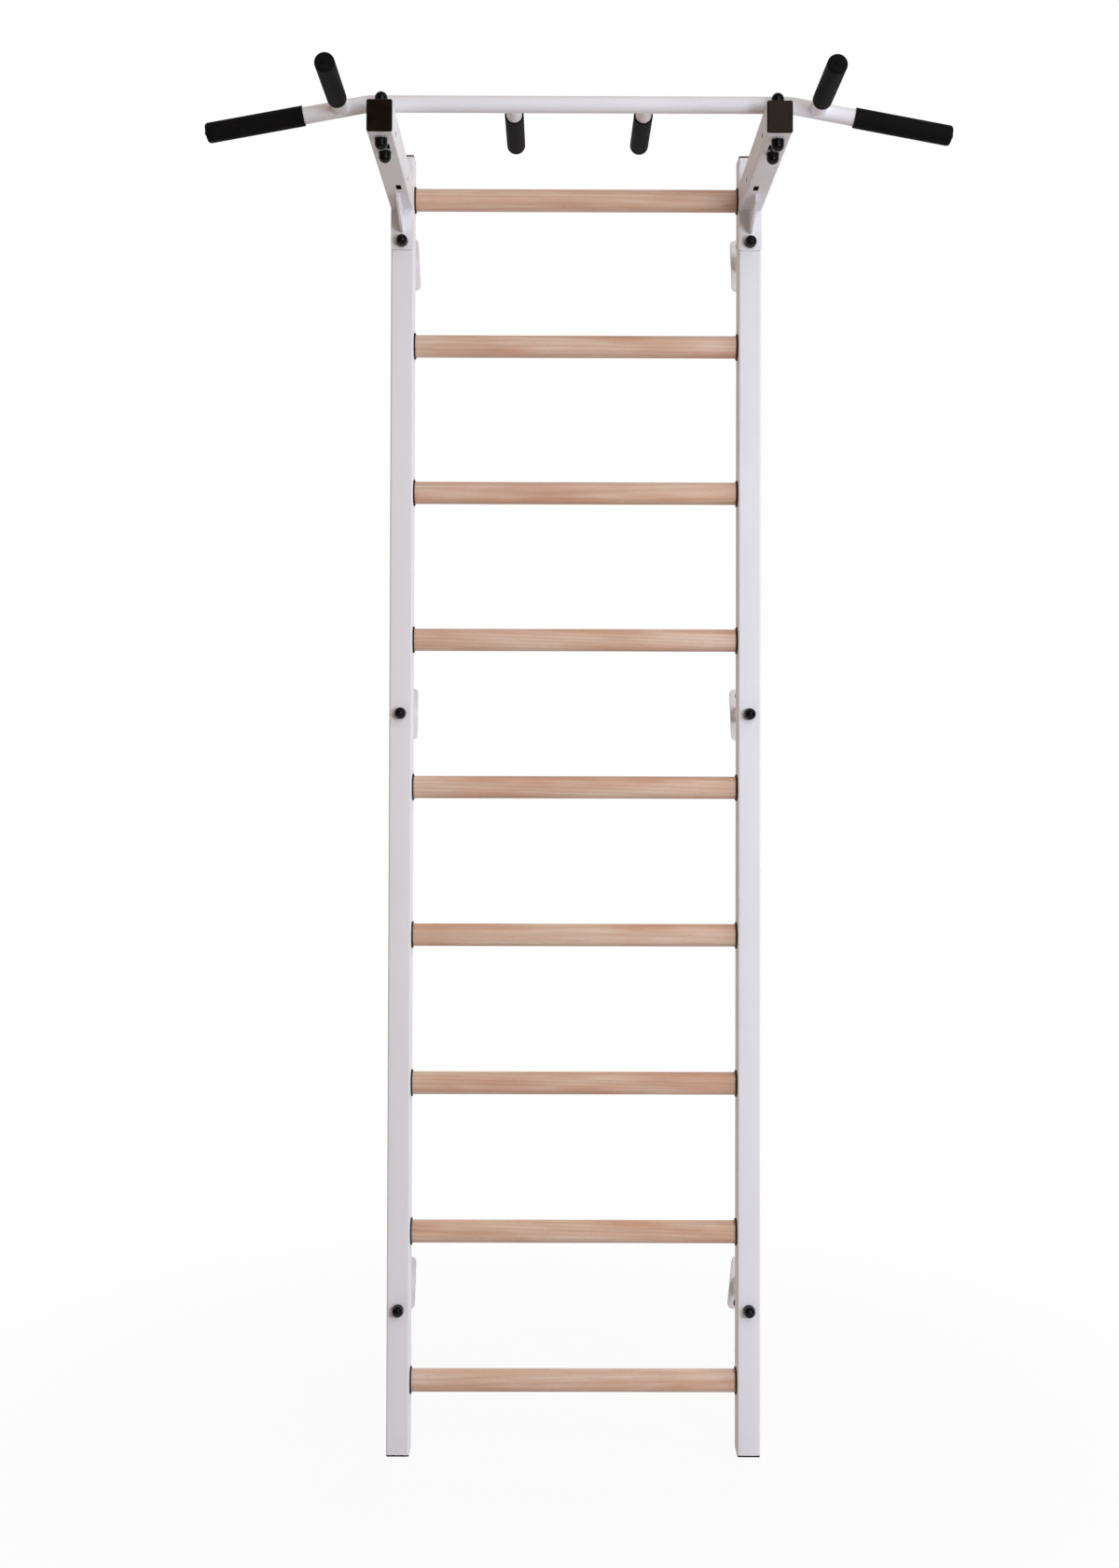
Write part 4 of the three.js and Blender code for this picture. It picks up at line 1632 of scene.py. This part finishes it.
@dataclass
class Studio:
    """The camera, the lamps, the pale floor and the white surroundings."""

    lens: float = 1936.27 / 1681 * 36
    eye: Place = (-0.0359, -3.3556, 1.2793)
    tilt: Place = (math.pi / 2 + 0.01614, -0.00276, -0.00265)
    shift: float = (750.69 - 840.5) / 1681
    ambient: str = "#d0beb2"
    ambient_front: str = "#9c8673"
    ambient_from: Place = (0.5, 0.0, 0.86)
    ambient_low: float = 0.75
    ambient_high: float = 1.02
    front_gloss: float = 0.08
    floor_colour: str = "#b4b3b4"
    floor_white: float = 0.94
    floor_size: float = 3.6
    fade: tuple[float, float] = (0.5, 1.7)
    lamps: tuple[Lamp, ...] = (
        Lamp("key", (1.9, -4.0, 1.45), (0.1, -0.15, 1.1), 1.3, 71.0, "#eef5fd"),
        Lamp("top", (1.3, -3.5, 3.5), (0.0, -0.15, 1.1), 2.4, 46.0, "#eef5fd"),
        Lamp("side", (3.2, -1.3, 1.3), (0.1, -0.15, 1.2), 1.6, 34.0, "#eef5fd", mirrored=False),
        Lamp("rear", (1.2, 3.4, 2.4), (0.0, 0.0, 1.3), 1.8, 46.0, "#f3f8ff", mirrored=False),
    )

    def set_camera(self) -> None:
        """Stands the camera where the picture was taken from."""
        deselect()
        bpy.ops.object.camera_add(location=self.eye, rotation=self.tilt)
        camera = bpy.context.object
        camera.data.sensor_width = 36.0
        camera.data.lens = self.lens
        camera.data.shift_y = self.shift
        bpy.context.scene.camera = camera

    def set_world(self) -> None:
        """Makes the surroundings white to look at, and a softer warm grey as light."""
        world = bpy.data.worlds.new("studio")
        bpy.context.scene.world = world
        world.use_nodes = True
        tree = world.node_tree
        tree.nodes.clear()
        path = add_node(tree, "ShaderNodeLightPath")
        direct = add_node(
            tree,
            "ShaderNodeMath",
            {"operation": "MAXIMUM"},
            {0: path.outputs["Is Camera Ray"], 1: path.outputs["Is Transmission Ray"]},
        )
        look = add_node(tree, "ShaderNodeTexCoord").outputs["Generated"]
        way = add_node(tree, "ShaderNodeSeparateXYZ", links={0: look})
        behind = add_node(tree, "ShaderNodeMapRange", {1: -0.2, 2: 0.5, 3: 0.0, 4: 1.0}, {0: way.outputs["Y"]})
        glossy = add_node(
            tree,
            "ShaderNodeMath",
            {"operation": "MULTIPLY"},
            {0: path.outputs["Is Glossy Ray"], 1: behind.outputs[0]},
        )
        seen = add_node(tree, "ShaderNodeMath", {"operation": "MAXIMUM"}, {0: direct.outputs[0], 1: glossy.outputs[0]})
        facing = add_node(
            tree, "ShaderNodeVectorMath", {"operation": "DOT_PRODUCT", 1: self.ambient_from}, {0: look}
        )
        height = add_node(
            tree,
            "ShaderNodeMapRange",
            {1: -1.0, 2: 1.0, 3: self.ambient_low, 4: self.ambient_high},
            {0: facing.outputs["Value"]},
        )
        dim = add_node(tree, "ShaderNodeMapRange", {3: 1.0, 4: self.front_gloss}, {0: path.outputs["Is Glossy Ray"]})
        level = add_node(
            tree, "ShaderNodeMath", {"operation": "MULTIPLY"}, {0: height.outputs[0], 1: dim.outputs[0]}
        )
        aside = add_node(tree, "ShaderNodeMapRange", {1: -1.0, 2: 0.2, 3: 0.0, 4: 1.0}, {0: way.outputs["Y"]})
        fill = add_node(
            tree,
            "ShaderNodeMix",
            {"data_type": "RGBA", 6: linear(self.ambient_front), 7: linear(self.ambient)},
            {0: aside.outputs[0]},
        )
        light = add_node(
            tree, "ShaderNodeBackground", links={"Color": fill.outputs[2], "Strength": level.outputs[0]}
        )
        white = add_node(tree, "ShaderNodeBackground", {"Color": linear("#ffffff"), "Strength": 1.0})
        mixed = add_node(
            tree,
            "ShaderNodeMixShader",
            links={0: seen.outputs[0], 1: light.outputs[0], 2: white.outputs[0]},
        )
        add_node(tree, "ShaderNodeOutputWorld", links={"Surface": mixed.outputs[0]})

    def floor_material(self) -> bpy.types.Material:
        """Paints the floor: pale for the light that it throws back, and near white to look at, with the shadow kept.

        Returns:
            The floor's material.
        """
        made = bpy.data.materials.new("studio_floor")
        made.use_nodes = True
        tree = made.node_tree
        tree.nodes.clear()
        place = add_node(tree, "ShaderNodeTexCoord").outputs["Object"]
        away = add_node(tree, "ShaderNodeVectorMath", {"operation": "LENGTH"}, {0: place})
        low, high = self.fade
        fade = add_node(
            tree, "ShaderNodeMapRange", {1: low, 2: high, 3: self.floor_white, 4: 1.0}, {0: away.outputs["Value"]}
        )
        path = add_node(tree, "ShaderNodeLightPath")
        direct = path.outputs["Is Camera Ray"]
        for kind in ("Is Glossy Ray", "Is Transmission Ray"):
            either = {0: direct, 1: path.outputs[kind]}
            direct = add_node(tree, "ShaderNodeMath", {"operation": "MAXIMUM"}, either).outputs[0]
        seen = add_node(
            tree,
            "ShaderNodeMath",
            {"operation": "MULTIPLY"},
            {0: fade.outputs[0], 1: direct},
        )
        matt = add_node(tree, "ShaderNodeBsdfDiffuse", {"Color": linear(self.floor_colour)})
        white = add_node(tree, "ShaderNodeEmission", {"Color": linear("#ffffff"), "Strength": 1.0})
        mixed = add_node(
            tree, "ShaderNodeMixShader", links={0: seen.outputs[0], 1: matt.outputs[0], 2: white.outputs[0]}
        )
        add_node(tree, "ShaderNodeOutputMaterial", links={"Surface": mixed.outputs[0]})
        return made

    def set_floor(self) -> None:
        """Lays the floor under the feet."""
        deselect()
        bpy.ops.mesh.primitive_plane_add(size=self.floor_size)
        floor = bpy.context.object
        floor.name = "studio_floor"
        floor.data.materials.append(self.floor_material())

    def build(self) -> None:
        """Sets up the whole studio."""
        bpy.context.scene.view_settings.view_transform = "Standard"
        self.set_camera()
        self.set_world()
        self.set_floor()
        for lamp in self.lamps:
            lamp.build()


def main() -> None:
    """Builds the studio and every sub-assembly in order."""
    logging.basicConfig(level=logging.INFO, format="%(name)s: %(message)s")
    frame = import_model()
    Studio().build()
    bar = PullUpBar()
    for part in (
        Uprights(frame["nodes"]),
        Plugs(),
        Rungs(),
        Collars(),
        Bolts(),
        WallBrackets(),
        Arms(frame["nodes"]),
        bar,
        Grips(bar),
    ):
        part.build()


if __name__ == "__main__":
    main()
